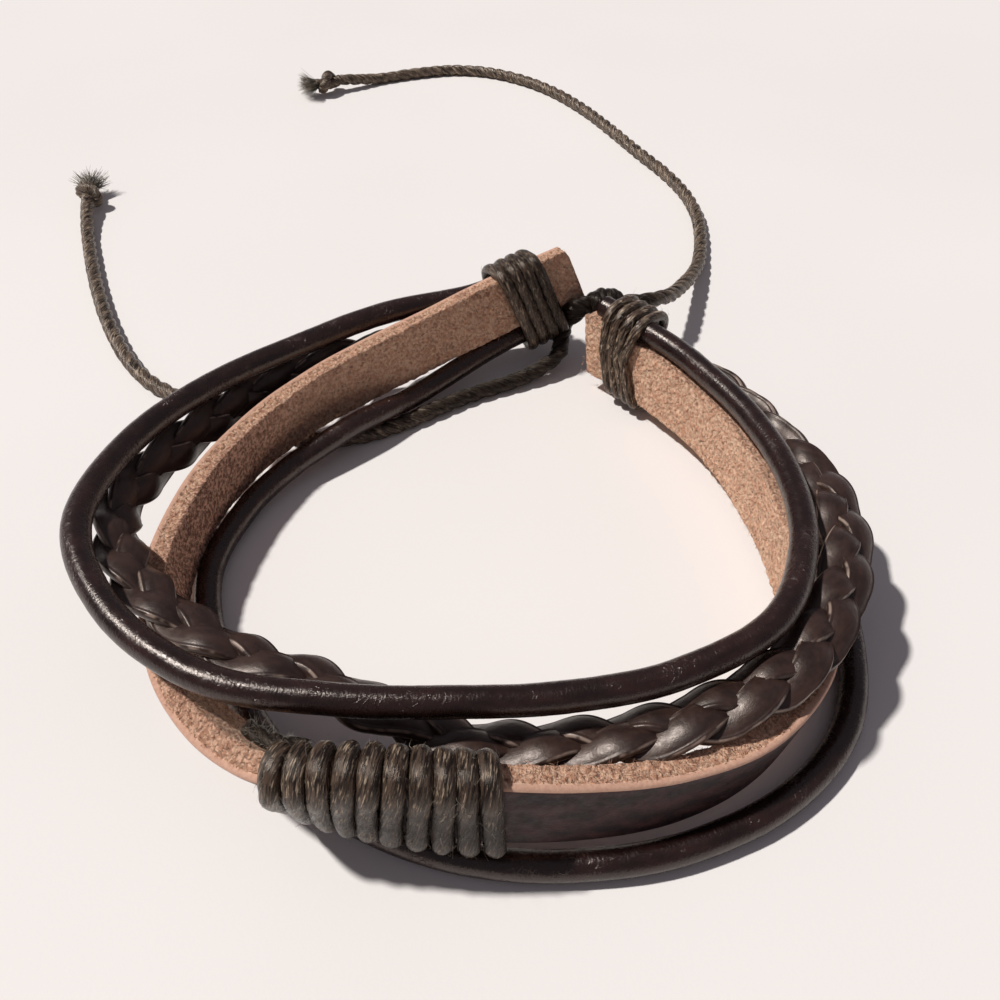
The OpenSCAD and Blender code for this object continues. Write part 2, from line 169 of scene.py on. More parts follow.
def smooth_rows(rows: Array, count: int) -> Array:
    """Rows read at even steps on a smooth curve through all of them.

    Args:
        rows: one row of values for each given section.
        count: how many rows to return.

    Returns:
        The rows on the curve, the given first and last ones included.
    """
    u = np.linspace(0, len(rows) - 1, count)
    i = np.minimum(u.astype(int), len(rows) - 2)
    t = (u - i)[:, None]
    a, b, c, d = (rows[np.clip(i + k, 0, len(rows) - 1)] for k in (-1, 0, 1, 2))
    return (2 * b + (c - a) * t + (2 * a - 5 * b + 4 * c - d) * t**2 + (3 * b - a - 3 * c + d) * t**3) / 2


def seated(table: tuple) -> Array:
    """A table of sections as rows of x, y, z and lean in the bracelet's frame.

    Args:
        table: rows of angle, radius, height and lean.

    Returns:
        The rows in the frame.
    """
    angle, radius, height, lean = np.array(table, float).T
    x = radius * np.cos(np.radians(angle)) - OUTLINE_MIDDLE[0]
    y = radius * np.sin(np.radians(angle)) - OUTLINE_MIDDLE[1]
    return np.c_[x, y, height, lean]


def laid(route: tuple) -> Array:
    """A tail's route in the bracelet's frame."""
    return np.array(route, float) - (*OUTLINE_MIDDLE, 0)


def unbent(s: Array, section: Array) -> Array:
    """Places in a straight strand, from the lengths of its rings and its section's places.

    Args:
        s: each ring's length along the strand.
        section: the section's places, up and out.

    Returns:
        Rings of places as (along, up, out).
    """
    shape = (len(s), len(section))
    along = np.broadcast_to(s[:, None, None], (*shape, 1))
    return np.concatenate([along, np.broadcast_to(section, (*shape, 2))], axis=-1)


def offset(points: Array, wide: Array, deep: Array, up: Array, out: Array) -> Array:
    """Rings of points set off from a line.

    Args:
        points: the line's points, one for each ring.
        wide: the section's first direction at each point.
        deep: its second direction.
        up: how far each point of a ring lies along the first direction.
        out: how far it lies along the second one.

    Returns:
        The rings.
    """
    return points[:, None] + wide[:, None] * up[..., None] + deep[:, None] * out[..., None]


class Grain:
    """Smooth seeded noise from a lattice of random values."""

    SIDE = 32

    def __init__(self, seed: int) -> None:
        """Fills the lattice from one seed."""
        self.lattice = np.random.default_rng(seed).uniform(-1, 1, (self.SIDE,) * 3)

    def at(self, points: Array) -> Array:
        """Noise with features about one unit wide.

        Args:
            points: places, with their three coordinates last.

        Returns:
            A value from -1 to 1 for each place.
        """
        cell = np.floor(points).astype(int)
        t = points - cell
        t = t * t * (3 - 2 * t)
        total = np.zeros(points.shape[:-1])
        for corner in np.ndindex(2, 2, 2):
            index = tuple((cell[..., k] + corner[k]) % self.SIDE for k in range(3))
            weight = np.prod([t[..., k] if corner[k] else 1 - t[..., k] for k in range(3)], axis=0)
            total += weight * self.lattice[index]
        return total

    def layers(self, points: Array, count: int) -> Array:
        """Noise with ever finer layers, each half as strong as the one before."""
        return sum(self.at(points * 2**k + 7.3 * k) / 2**k for k in range(count))


@dataclass
class Line:
    """A strand's middle line with its directions ahead, across its width, and outwards."""

    rows: Array

    def __post_init__(self) -> None:
        """Works out lengths and headings along the rows."""
        self.points = self.rows[:, :3]
        self.lengths = lengths_along(self.points)
        self.length = float(self.lengths[-1])
        self.headings = unit(np.gradient(self.points, self.lengths, axis=0))

    def at(self, s: Array | float) -> tuple[Array, Array, Array, Array]:
        """The line at given lengths; before its start and past its end it runs straight on.

        Args:
            s: lengths along the line, in any shape.

        Returns:
            Points, headings, directions across the width, and directions outwards.
        """
        s = np.asarray(s, float)
        heading = unit(read(s, self.lengths, self.headings))
        beyond = (s - np.clip(s, 0, self.length))[..., None]
        point = read(s, self.lengths, self.points) + heading * beyond
        lean = np.radians(read(s, self.lengths, self.rows[:, 3:4]))
        out = unit(np.stack([heading[..., 1], -heading[..., 0], 0 * heading[..., 0]], axis=-1))
        up = np.cross(out, heading)
        wide = up * np.cos(lean) + out * np.sin(lean)
        deep = out * np.cos(lean) - up * np.sin(lean)
        return point, heading, wide, deep


STRAP = Line(smooth_rows(seated(STRAP_SECTIONS), STRAP_ROWS))

# Where the turns begin along the strap, and how far ends stand out of the bindings
LEFT_BINDING_START = 3.4
WRAP_START = 94.0
BINDING_TURNS = 4
WRAP_TURNS = 10
BINDING_LENGTH = BINDING_TURNS * TURN_PITCH
STRAP_STUB = 2.4
RIGHT_BINDING_END = STRAP.length - STRAP_STUB
STRAND_END_OVERHANG = 0.3
CORD_STUB = 2.2
PAST_BINDING = 1.0

# Places in the left and in the right end bundle, up across the strap and out from its middle
BESIDE_STRAP = HALF_THICKNESS + GAP
BESIDE_BRAID = BESIDE_STRAP + BRAID_THICKNESS / 2
UPPER_BELOW_EDGE = 0.9
UPPER_OUT = 0.4
BRAID_BELOW_UPPER = 3.2
LOWER_OUT = -0.2
UPPER_SEATS = (
    (HALF_WIDTH - REACH - UPPER_BELOW_EDGE, BESIDE_STRAP + REACH),
    (HALF_WIDTH + GAP + REACH, UPPER_OUT),
)
BRAID_SEATS = (
    (UPPER_SEATS[0][0] - REACH - GAP - BRAID_WIDTH / 2, BESIDE_BRAID),
    (UPPER_SEATS[1][0] - BRAID_BELOW_UPPER, BESIDE_BRAID),
)
LOWER_SEATS = (
    (-HALF_WIDTH - SEAT_GAP - REACH, LOWER_OUT),
    (-HALF_WIDTH + REACH, BESIDE_STRAP + REACH),
)


def by_strap(s: float, seat: Pair) -> Array:
    """A place in the strap's own section, up across its width and out from its middle."""
    point, _, wide, deep = STRAP.at(s)
    return point + wide * seat[0] + deep * seat[1]


def strand_line(table: tuple, seats: tuple[Pair, Pair], stub: float) -> Line:
    """The whole run of a strand from its seat in one binding to its seat in the other.

    Args:
        table: the strand's sections between the bindings.
        seats: its places in the left and in the right bundle.
        stub: how far it stands out past the right binding.

    Returns:
        The strand's middle line.
    """
    past = BINDING_LENGTH + PAST_BINDING
    starts = (LEFT_BINDING_START - STRAND_END_OVERHANG, LEFT_BINDING_START + past)
    ends = (RIGHT_BINDING_END - past, RIGHT_BINDING_END + stub)
    left, right = (
        [(*by_strap(s, seat), np.interp(s, STRAP.lengths, STRAP.rows[:, 3])) for s in places]
        for places, seat in zip((starts, ends), seats)
    )
    return Line(smooth_rows(np.vstack([left, seated(table), right]), STRAND_ROWS))


def open_line(points: Array, count: int) -> Line:
    """A line with no lean through a few points."""
    return Line(smooth_rows(np.c_[points, np.zeros(len(points))], count))


@dataclass
class Skin:
    """Gathers closed skins and turns them into one mesh, with values for the materials.

    Each point keeps where it lies in its own strand before the strand is bent (strand, in mm), how
    near it is to an edge coloured apart, such as the strap's pale band and the braid's painted edge
    highlight (rim), and a tone (tone): painted shade on the strap and the waxed cord, a darker top
    edge on the strap, and a random lightness for each loose fibre.
    """

    points: list[Array] = field(default_factory=list)
    quads: list[Array] = field(default_factory=list)
    triangles: list[Array] = field(default_factory=list)
    strand: list[Array] = field(default_factory=list)
    rim: list[Array] = field(default_factory=list)
    tone: list[Array] = field(default_factory=list)
    quad_slots: list[Array] = field(default_factory=list)
    count: int = 0

    def add(
        self, rings: Array, strand: Array, rim: Array | float = 0.0, tone: Array | float = 0.0,
        slots: Array | None = None,
    ) -> None:
        """Adds one skin over rings of points and closes both its ends.

        Args:
            rings: places in mm, ring by ring.
            strand: each point's place in the unbent strand, in the same shape.
            rim: nearness to an edge coloured apart, such as the braid's painted edge highlight, from 0 to
                1.
            tone: how light or dark the piece is there, from 0 to 1, painted shade included.
            slots: the material slot of each side of a ring, where there are several.
        """
        rows, sides = rings.shape[:2]
        start = self.count
        index = start + np.arange(rows * sides).reshape(rows, sides)
        a, b = index[:-1], index[1:]
        self.quads.append(np.stack([a, b, np.roll(b, -1, 1), np.roll(a, -1, 1)], axis=-1).reshape(-1, 4))
        self.quad_slots.append(np.tile(np.zeros(sides, int) if slots is None else slots, rows - 1))
        self.points.append(rings.reshape(-1, 3))
        self.strand.append(strand.reshape(-1, 3))
        self.rim.append(np.broadcast_to(rim, (rows, sides)).reshape(-1))
        self.tone.append(np.broadcast_to(tone, (rows, sides)).reshape(-1))
        self.count += rows * sides
        for ring, first in ((0, start), (-1, start + (rows - 1) * sides)):
            around = first + np.arange(sides)
            fan = np.stack([np.full(sides, self.count), around, np.roll(around, -1)], axis=-1)
            self.triangles.append(fan[:, ::-1] if ring else fan)
            self.points.append(rings[ring].mean(0)[None])
            self.strand.append(strand[ring].mean(0)[None])
            self.rim.append(np.array([float(np.mean(rim))]))
            self.tone.append(self.tone[-1][:1])
            self.count += 1

    def build(self, name: str, materials: list[Material]) -> Thing:
        """Turns the skins into one object.

        Args:
            name: the object's name.
            materials: its material slots in order.

        Returns:
            The object, linked to the scene and riding on the bracelet.
        """
        quads, fans = np.vstack(self.quads), np.vstack(self.triangles)
        mesh = bpy.data.meshes.new(name)
        mesh.vertices.add(self.count)
        mesh.vertices.foreach_set("co", (np.vstack(self.points) * MM).astype(np.float32).ravel())
        corners = np.r_[quads.ravel(), fans.ravel()].astype(np.int32)
        mesh.loops.add(len(corners))
        mesh.loops.foreach_set("vertex_index", corners)
        sizes = np.r_[np.full(len(quads), 4), np.full(len(fans), 3)]
        mesh.polygons.add(len(sizes))
        mesh.polygons.foreach_set("loop_start", np.r_[0, np.cumsum(sizes)[:-1]].astype(np.int32))
        slots = np.r_[np.concatenate(self.quad_slots), np.zeros(len(fans), int)]
        mesh.polygons.foreach_set("material_index", slots.astype(np.int32))
        mesh.polygons.foreach_set("use_smooth", np.ones(len(sizes), bool))
        self.store(mesh, "strand", "FLOAT_VECTOR", "vector", np.vstack(self.strand))
        self.store(mesh, "rim", "FLOAT", "value", np.concatenate(self.rim))
        self.store(mesh, "tone", "FLOAT", "value", np.concatenate(self.tone))
        mesh.update(calc_edges=True)
        mesh.validate()
        for material in materials:
            mesh.materials.append(material)
        thing = bpy.data.objects.new(name, mesh)
        bpy.context.scene.collection.objects.link(thing)
        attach(thing, "root")
        return thing

    @staticmethod
    def store(mesh: bpy.types.Mesh, name: str, kind: str, key: str, values: Array) -> None:
        """Keeps one value for each point under a name that the materials read."""
        layer = mesh.attributes.new(name, kind, "POINT")
        layer.data.foreach_set(key, values.astype(np.float32).ravel())


class CellPart(Enum):
    """What a pattern of cells measures the distance to."""

    MIDDLE = "F1"
    EDGE = "DISTANCE_TO_EDGE"


class Shading:
    """Adds and links the shader nodes of one material."""

    def __init__(self, name: str) -> None:
        """Makes an empty material with its output node.

        Args:
            name: the material's name.
        """
        self.made = bpy.data.materials.new(name)
        self.made.use_nodes = True
        self.tree = self.made.node_tree
        self.tree.nodes.clear()
        self.output = self.tree.nodes.new("ShaderNodeOutputMaterial")

    def node(self, kind: str, sockets: dict, **settings: object) -> bpy.types.Node:
        """Adds a node.

        Args:
            kind: the node's type after ShaderNode.
            sockets: values or links for its inputs, by name or number.
            settings: its own properties.

        Returns:
            The node.
        """
        made = self.tree.nodes.new("ShaderNode" + kind)
        for name, value in settings.items():
            setattr(made, name, value)
        for name, value in sockets.items():
            self.feed(made.inputs[name], value)
        return made

    def feed(self, socket: Socket, value: object) -> None:
        """Gives an input a link or a constant value.

        Args:
            socket: the input.
            value: an output to link to it, or its own value.
        """
        if isinstance(value, Socket):
            self.tree.links.new(value, socket)
        else:
            socket.default_value = value

    def value(self, name: str) -> Socket:
        """One of the mesh's own values, such as rim or tone."""
        return self.node("Attribute", {}, attribute_name=name).outputs["Fac"]

    def strand(self, repeats: tuple[float, float, float]) -> Socket:
        """Places in the unbent strand, scaled to repeats in a mm along, up and out."""
        read_place = self.node("Attribute", {}, attribute_name="strand").outputs["Vector"]
        return self.node("Mapping", {"Vector": read_place, "Scale": repeats}).outputs[0]

    def soft(self, place: Socket, scale: float, detail: float) -> Socket:
        """Soft noise from 0 to 1 over any places."""
        sockets = {"Vector": place, "Scale": scale, "Detail": detail, "Roughness": 0.6}
        return self.node("TexNoise", sockets).outputs["Fac"]

    def noise(self, repeats: tuple[float, float, float], detail: float) -> Socket:
        """Soft noise from 0 to 1 in the unbent strand."""
        return self.soft(self.strand(repeats), 1.0, detail)

    def cells(self, repeats: tuple[float, float, float], part: CellPart) -> Socket:
        """Distance in a pattern of cells in the unbent strand."""
        sockets = {"Vector": self.strand(repeats), "Scale": 1.0}
        return self.node("TexVoronoi", sockets, feature=part.value).outputs["Distance"]

    def fit(self, value: Socket, low: float, high: float, start: float = 0.0, end: float = 1.0) -> Socket:
        """A value's range from low to high, fitted to another range and kept in it."""
        sockets = {"Value": value, "From Min": low, "From Max": high, "To Min": start, "To Max": end}
        return self.node("MapRange", sockets, interpolation_type="SMOOTHSTEP").outputs[0]

    def patches(
        self, repeats: tuple[float, float, float], detail: float, low: float, high: float,
        start: float = 0.0, end: float = 1.0,
    ) -> Socket:
        """Noise in the unbent strand, fitted from a range to another one."""
        return self.fit(self.noise(repeats, detail), low, high, start, end)

    def times(self, a: Socket, b: Socket | float) -> Socket:
        """The product of two values."""
        return self.node("Math", {0: a, 1: b}, operation="MULTIPLY").outputs[0]

    def rest(self, share: Socket) -> Socket:
        """What a share leaves of the whole."""
        return self.node("Math", {0: 1.0, 1: share}, operation="SUBTRACT").outputs[0]

    def mix(self, share: Socket, a: Socket | Colour, b: Socket | Colour) -> Socket:
        """Two colours mixed.

        Args:
            share: how much of the second colour there is.
            a: the first colour.
            b: the second colour.

        Returns:
            The mixed colour.
        """
        made = self.node("Mix", {"Factor": share}, data_type="RGBA")
        ends = [socket for socket in made.inputs if socket.type == "RGBA"]
        for socket, colour in zip(ends, (a, b)):
            self.feed(socket, colour if isinstance(colour, Socket) else (*colour, 1.0))
        return next(socket for socket in made.outputs if socket.type == "RGBA")

    def relief(self, *layers: tuple[Socket, float]) -> Socket:
        """Bumps laid over each other.

        Args:
            layers: each bump's height and its depth in mm, the lowest first.

        Returns:
            The normal over all of them.
        """
        below = {}
        for height, depth in layers:
            bump = self.node("Bump", {"Height": height, "Distance": depth * MM, **below})
            below = {"Normal": bump.outputs["Normal"]}
        return below["Normal"]

    def finish(
        self, colour: Socket, rough: Socket | float, shine: Socket | float, relief: Socket | None = None,
        glint: Colour = WHITE, sheen: float = 0.0,
    ) -> Material:
        """Closes the material with its surface shader.

        Args:
            colour: its base colour.
            rough: its roughness.
            shine: the strength of its reflections.
            relief: its normal, where it has bumps.
            glint: the colour of its reflections.
            sheen: the strength of the soft shine of its fibres.

        Returns:
            The material.
        """
        sockets = {
            "Base Color": colour, "Roughness": rough, "Specular IOR Level": shine,
            "Specular Tint": (*glint, 1.0), "Sheen Weight": sheen, "Sheen Roughness": 0.6,
        }
        if relief is not None:
            sockets["Normal"] = relief
        surface = self.node("BsdfPrincipled", sockets)
        self.tree.links.new(surface.outputs[0], self.output.inputs["Surface"])
        return self.made


@dataclass(frozen=True)
class GlossyCordLeather:
    """Dyed and polished round leather with fine cracks across it."""

    name: str = "round_cord_leather"
    dark: Colour = (0.0090, 0.0034, 0.0030)
    brown: Colour = (0.026, 0.0100, 0.0084)
    crack: Colour = (0.006, 0.0032, 0.0028)
    glint: Colour = (1.0, 0.88, 0.81)

    def material(self) -> Material:
        """Builds the material.

        Returns:
            The finish of both round cords.
        """
        s = Shading(self.name)
        cracks = s.fit(s.cells((2.6, 1.7, 1.7), CellPart.EDGE), 0.0, 0.07, 1.0, 0.0)
        cracked = s.times(cracks, s.patches((0.25, 0.5, 0.5), 3, 0.52, 0.66))
        colour = s.mix(s.patches((0.25, 0.6, 0.6), 4, 0.35, 0.68), self.dark, self.brown)
        colour = s.mix(s.times(cracked, 0.7), colour, self.crack)
        creases, pores = s.noise((4.6, 1.8, 1.8), 4), s.noise((5, 6, 6), 5)
        relief = s.relief((creases, 0.05), (cracked, -0.03), (pores, 0.017))
        rough = s.patches((1, 1, 1), 5, 0.35, 0.65, 0.20, 0.31)
        return s.finish(colour, rough, 0.74, relief, self.glint)


@dataclass(frozen=True)
class BraidLeather:
    """Satin leather of the braid's folded strips, with a painted highlight along their edges."""

    name: str = "braid_leather"
    dark: Colour = (0.0165, 0.0082, 0.0066)
    brown: Colour = (0.046, 0.0235, 0.0182)
    # Colour of the painted highlight along the strips' edges
    painted_light: Colour = (0.42, 0.31, 0.25)
    glint: Colour = (1.0, 0.87, 0.79)

    def material(self) -> Material:
        """Builds the material.

        Returns:
            The finish of the braid's strips.
        """
        s = Shading(self.name)
        colour = s.mix(s.patches((0.5, 0.8, 0.8), 4, 0.3, 0.7), self.dark, self.brown)
        # Painted highlight along the strips' edges, where rim is high
        edge = s.times(s.fit(s.value("rim"), 0.35, 0.9), s.patches((0.7, 0.5, 0.5), 2, 0.44, 0.62))
        colour = s.mix(s.times(edge, 0.7), colour, self.painted_light)
        creases, pores = s.noise((0.9, 1, 1), 3), s.noise((9, 9, 9), 5)
        rough = s.patches((2, 2, 2), 4, 0.3, 0.7, 0.34, 0.46)
        return s.finish(colour, rough, 0.66, s.relief((creases, 0.05), (pores, 0.014)), self.glint)


@dataclass(frozen=True)
class GrainLeather:
    """The strap's smooth outer side: dark brown with reddish clouds, pores and light scratches."""

    name: str = "strap_grain_leather"
    dark: Colour = (0.018, 0.0095, 0.0095)
    red: Colour = (0.066, 0.027, 0.026)
    scratch: Colour = (0.13, 0.085, 0.075)

    def material(self) -> Material:
        """Builds the material.

        Returns:
            The finish of the strap's outer side.
        """
        s = Shading(self.name)
        colour = s.mix(s.patches((0.45, 0.7, 0.7), 5, 0.35, 0.68), self.dark, self.red)
        scratches = s.times(s.patches((0.9, 9, 9), 3, 0.66, 0.72), s.patches((0.4, 1, 1), 2, 0.5, 0.62))
        colour = s.mix(s.times(scratches, 0.5), colour, self.scratch)
        pebble, pores = s.cells((3.2, 3.2, 3.2), CellPart.MIDDLE), s.noise((8, 8, 8), 5)
        rough = s.patches((1.5, 1.5, 1.5), 4, 0.3, 0.7, 0.42, 0.62)
        return s.finish(colour, rough, 0.3, s.relief((pebble, 0.02), (pores, 0.02)))


@dataclass(frozen=True)
class RawLeather:
    """Suede and cut edges: tan fibres with dark pits and painted shade, and a smoother pale band where rim
    is high.
    """

    name: str = "strap_suede_leather"
    tan: Colour = (1.0, 0.66, 0.445)
    # Darker tan where the nap is low: partly the suede's own mottle, partly painted shade in its hollows
    deep: Colour = (0.80, 0.41, 0.25)
    # The tan of the painted shade on the inner face and of the darker top edge
    edge_and_shade_tan: Colour = (0.86, 0.47, 0.32)
    # Dark pits, and also the nap's hollows inside the painted shade
    pit_and_shade: Colour = (0.22, 0.090, 0.055)
    band: Colour = (0.56, 0.33, 0.24)

    def material(self) -> Material:
        """Builds the material.

        Returns:
            The finish of the strap's inner side and cut edges.
        """
        s = Shading(self.name)
        nap = s.noise((2.9, 2.3, 2.3), 6)
        # Darker where the nap is low: partly the suede's own mottle, partly painted shade in the nap's
        # hollows
        colour = s.mix(s.fit(nap, 0.38, 0.60), self.deep, self.tan)
        # Painted shade where tone is high, with the nap's hollows darker still
        colour = s.mix(s.value("tone"), colour, s.mix(s.fit(nap, 0.42, 0.6), self.pit_and_shade, self.edge_and_shade_tan))
        band = s.fit(s.value("rim"), 0.3, 0.7)
        open_nap = s.rest(band)
        pitted = s.times(s.patches((1.9, 2.1, 2.1), 5, 0.57, 0.68), open_nap)
        colour = s.mix(s.times(pitted, 0.5), colour, self.pit_and_shade)
        colour = s.mix(s.times(band, 0.8), colour, self.band)
        clumps, fine = s.cells((2.2, 2.2, 2.2), CellPart.MIDDLE), s.noise((8, 6, 6), 5)
        relief = s.relief((s.times(clumps, open_nap), -0.5), (s.times(nap, open_nap), 0.62), (fine, 0.06))
        return s.finish(colour, 0.95, 0.2, relief, sheen=0.12)


@dataclass(frozen=True)
class WaxedThread:
    """Waxed plant-fibre cord: streaky olive brown with pale fibres, and painted shade in its hollows."""

    name: str = "waxed_cord"
    dark: Colour = (0.0115, 0.0068, 0.0048)
    olive: Colour = (0.118, 0.076, 0.052)
    pale: Colour = (0.60, 0.455, 0.32)
    # Colour of the painted shade where tone is high
    painted_shade: Colour = (0.0060, 0.0042, 0.0036)
    glint: Colour = (1.0, 0.87, 0.76)

    def material(self) -> Material:
        """Builds the material.

        Returns:
            The finish of the waxed cord, with painted shade and duller reflections where tone is high.
        """
        s = Shading(self.name)
        fibre, fleck = s.noise((0.7, 5.5, 5.5), 6), s.noise((1.2, 8, 8), 5)
        cloud = s.noise((0.9, 1.4, 1.4), 4)
        # Darker where the fibre relief is low: the fibres' own streaks, with painted shade in the hollows
        colour = s.mix(s.fit(fibre, 0.44, 0.58), self.dark, self.olive)
        pale = s.times(s.fit(fleck, 0.53, 0.63), s.fit(cloud, 0.44, 0.55))
        colour = s.mix(s.times(pale, 0.9), colour, self.pale)
        # Painted shade where tone is high
        colour = s.mix(s.value("tone"), colour, self.painted_shade)
        rough = s.fit(cloud, 0.35, 0.65, 0.24, 0.42)
        shine = s.fit(s.value("tone"), 0.2, 0.85, 0.60, 0.22)
        return s.finish(colour, rough, shine, s.relief((fibre, 0.14), (fleck, 0.03)), self.glint)


@dataclass(frozen=True)
class BareFibre:
    """Single fibres between a dark and a pale colour, each by its own tone."""

    name: str
    dark: Colour
    pale: Colour
    rough: float
    shine: float

    def material(self) -> Material:
        """Builds the material.

        Returns:
            The finish of loose fibres.
        """
        s = Shading(self.name)
        colour = s.mix(s.fit(s.value("tone"), 0.0, 1.0), self.dark, self.pale)
        return s.finish(colour, self.rough, self.shine)


NAP_FIBRE = BareFibre("strap_nap_fibre", (0.26, 0.115, 0.07), (0.92, 0.58, 0.41), 0.9, 0.2)
WAXED_FIBRE = BareFibre("waxed_cord_fibre", (0.045, 0.036, 0.028), (0.42, 0.36, 0.28), 0.6, 0.4)
# A lighter copy of the waxed cord's finish, for the tails and their knots
TAIL_THREAD = WaxedThread("waxed_cord_tails", olive=(0.150, 0.105, 0.074))


@dataclass(frozen=True)
class PaleSurface:
    """The plain pale surface that the bracelet lies on."""

    name: str = "pale_surface"
    light: Colour = (0.87, 0.825, 0.79)
    shade: Colour = (0.85, 0.805, 0.77)

    def material(self) -> Material:
        """Builds the material.

        Returns:
            The finish of the surface.
        """
        s = Shading(self.name)
        place = s.node("TexCoord", {}).outputs["Object"]
        colour = s.mix(s.fit(s.soft(place, 14.0, 2), 0.3, 0.7), self.shade, self.light)
        return s.finish(colour, 0.7, 0.3, s.relief((s.soft(place, 2500.0, 3), 0.01)))


@dataclass(frozen=True)
class WaxedCord:
    """A run of twisted waxed cord along any line."""

    diameter: float = 1.86
    plies: int = 3
    pitch: float = 5.4
    groove: float = 0.36
    groove_shape: float = 1.4
    unevenness: float = 0.05
    sides: int = 30
    ring_step: float = 0.2

    def radius(self, angle: Array) -> Array:
        """The section's radius, with one round lobe for each ply."""
        lobe = np.abs(np.cos(self.plies * angle / 2))
        return self.diameter / 2 * (1 - self.groove * (1 - lobe)**self.groove_shape)

    def rings(
        self, points: Array, across: Array, out: Array, grain: Grain, squash: Pair = (1.0, 1.0)
    ) -> tuple[Array, Array]:
        """Rings of points of the cord's skin.

        Args:
            points: middle line, in even steps.
            across: one direction of the section at each point.
            out: the other direction of the section.
            grain: the noise that makes the skin uneven.
            squash: factors on the section's two directions.

        Returns:
            The rings, and the points' places in the unbent cord.
        """
        along = lengths_along(points)[:, None]
        around = circle(self.sides)[None]
        turned = around - 2 * np.pi * along / self.pitch
        radius = self.radius(turned)
        flat = np.stack([along + 0 * around, radius * np.cos(turned), radius * np.sin(turned)], axis=-1)
        radius = radius * (1 + self.unevenness * grain.layers(flat * (1.1, 2.2, 2.2), 3))
        sideways, outwards = radius * np.cos(around) * squash[0], radius * np.sin(around) * squash[1]
        return offset(points, across, out, sideways, outwards), flat

    def along(self, line: Line, grain: Grain) -> tuple[Array, Array, Array]:
        """The cord's skin over a whole line.

        Args:
            line: the line to follow.
            grain: the noise that makes the skin uneven.

        Returns:
            The rings, their places in the unbent cord, and the line's points.
        """
        s = np.linspace(0, line.length, max(8, int(line.length / self.ring_step)))
        points, _, wide, deep = line.at(s)
        return *self.rings(points, wide, deep, grain), points


@dataclass(frozen=True)
class Fibres:
    """Fine loose fibres, each a thin bent three-sided tube that tapers to a point."""

    thickness: float
    steps: int
    curl: float
    sway: float = 0.4
    waves: float = 5.0
    taper: float = 0.75

    def add(
        self, skin: Skin, roots: Array, ways: Array, lengths: Array, rng: Chance, pale: float = 1.0
    ) -> None:
        """Adds a fibre at each root.

        Args:
            skin: gathers the fibres.
            roots: where they start, in mm.
            ways: the direction in which each starts.
            lengths: how long each is.
            rng: the seeded source of chance.
            pale: the highest tone of a fibre.
        """
        bends, sways = (unit(rng.normal(size=(len(roots), 3))) for _ in range(2))
        t = np.linspace(0, 1, self.steps)[:, None]
        swing = self.sway * self.curl * np.sin(self.waves * t)
        radius = self.thickness / 2 * (1 - self.taper * t)
        corners = circle(3)[:, None]
        for root, way, length, bend, sway in zip(roots, ways, lengths, bends, sways):
            path = root + length * (way * t + self.curl * bend * t**2 + swing * sway)
            side = unit(np.cross(way, bend))
            ring = np.cos(corners) * side + np.sin(corners) * np.cross(unit(way), side)
            rings = path[:, None] + radius[:, None] * ring[None]
            skin.add(rings, rings, tone=float(rng.uniform(0, pale)))


class Slot(Enum):
    """The record's material slots."""

    SUEDE = "strap_suede"
    ROUND = "round_leather"
    BRAID = "braid_leather"
    WAXED = "waxed_cord"


def dress(skin: Skin, name: str, materials: list[Material], slot: Slot, *nodes: str) -> Thing:
    """Builds a skin's object and hides the solids that it stands for.

    Args:
        skin: the gathered skin.
        name: the object's name.
        materials: the object's own material slots.
        slot: the record's slot; not used.
        nodes: the solids that the object replaces.

    Returns:
        The object.
    """
    thing = skin.build(name, materials)
    if nodes:
        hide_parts(*nodes)
    LOG.info("built %s with %d faces", thing.name, len(thing.data.polygons))
    return thing


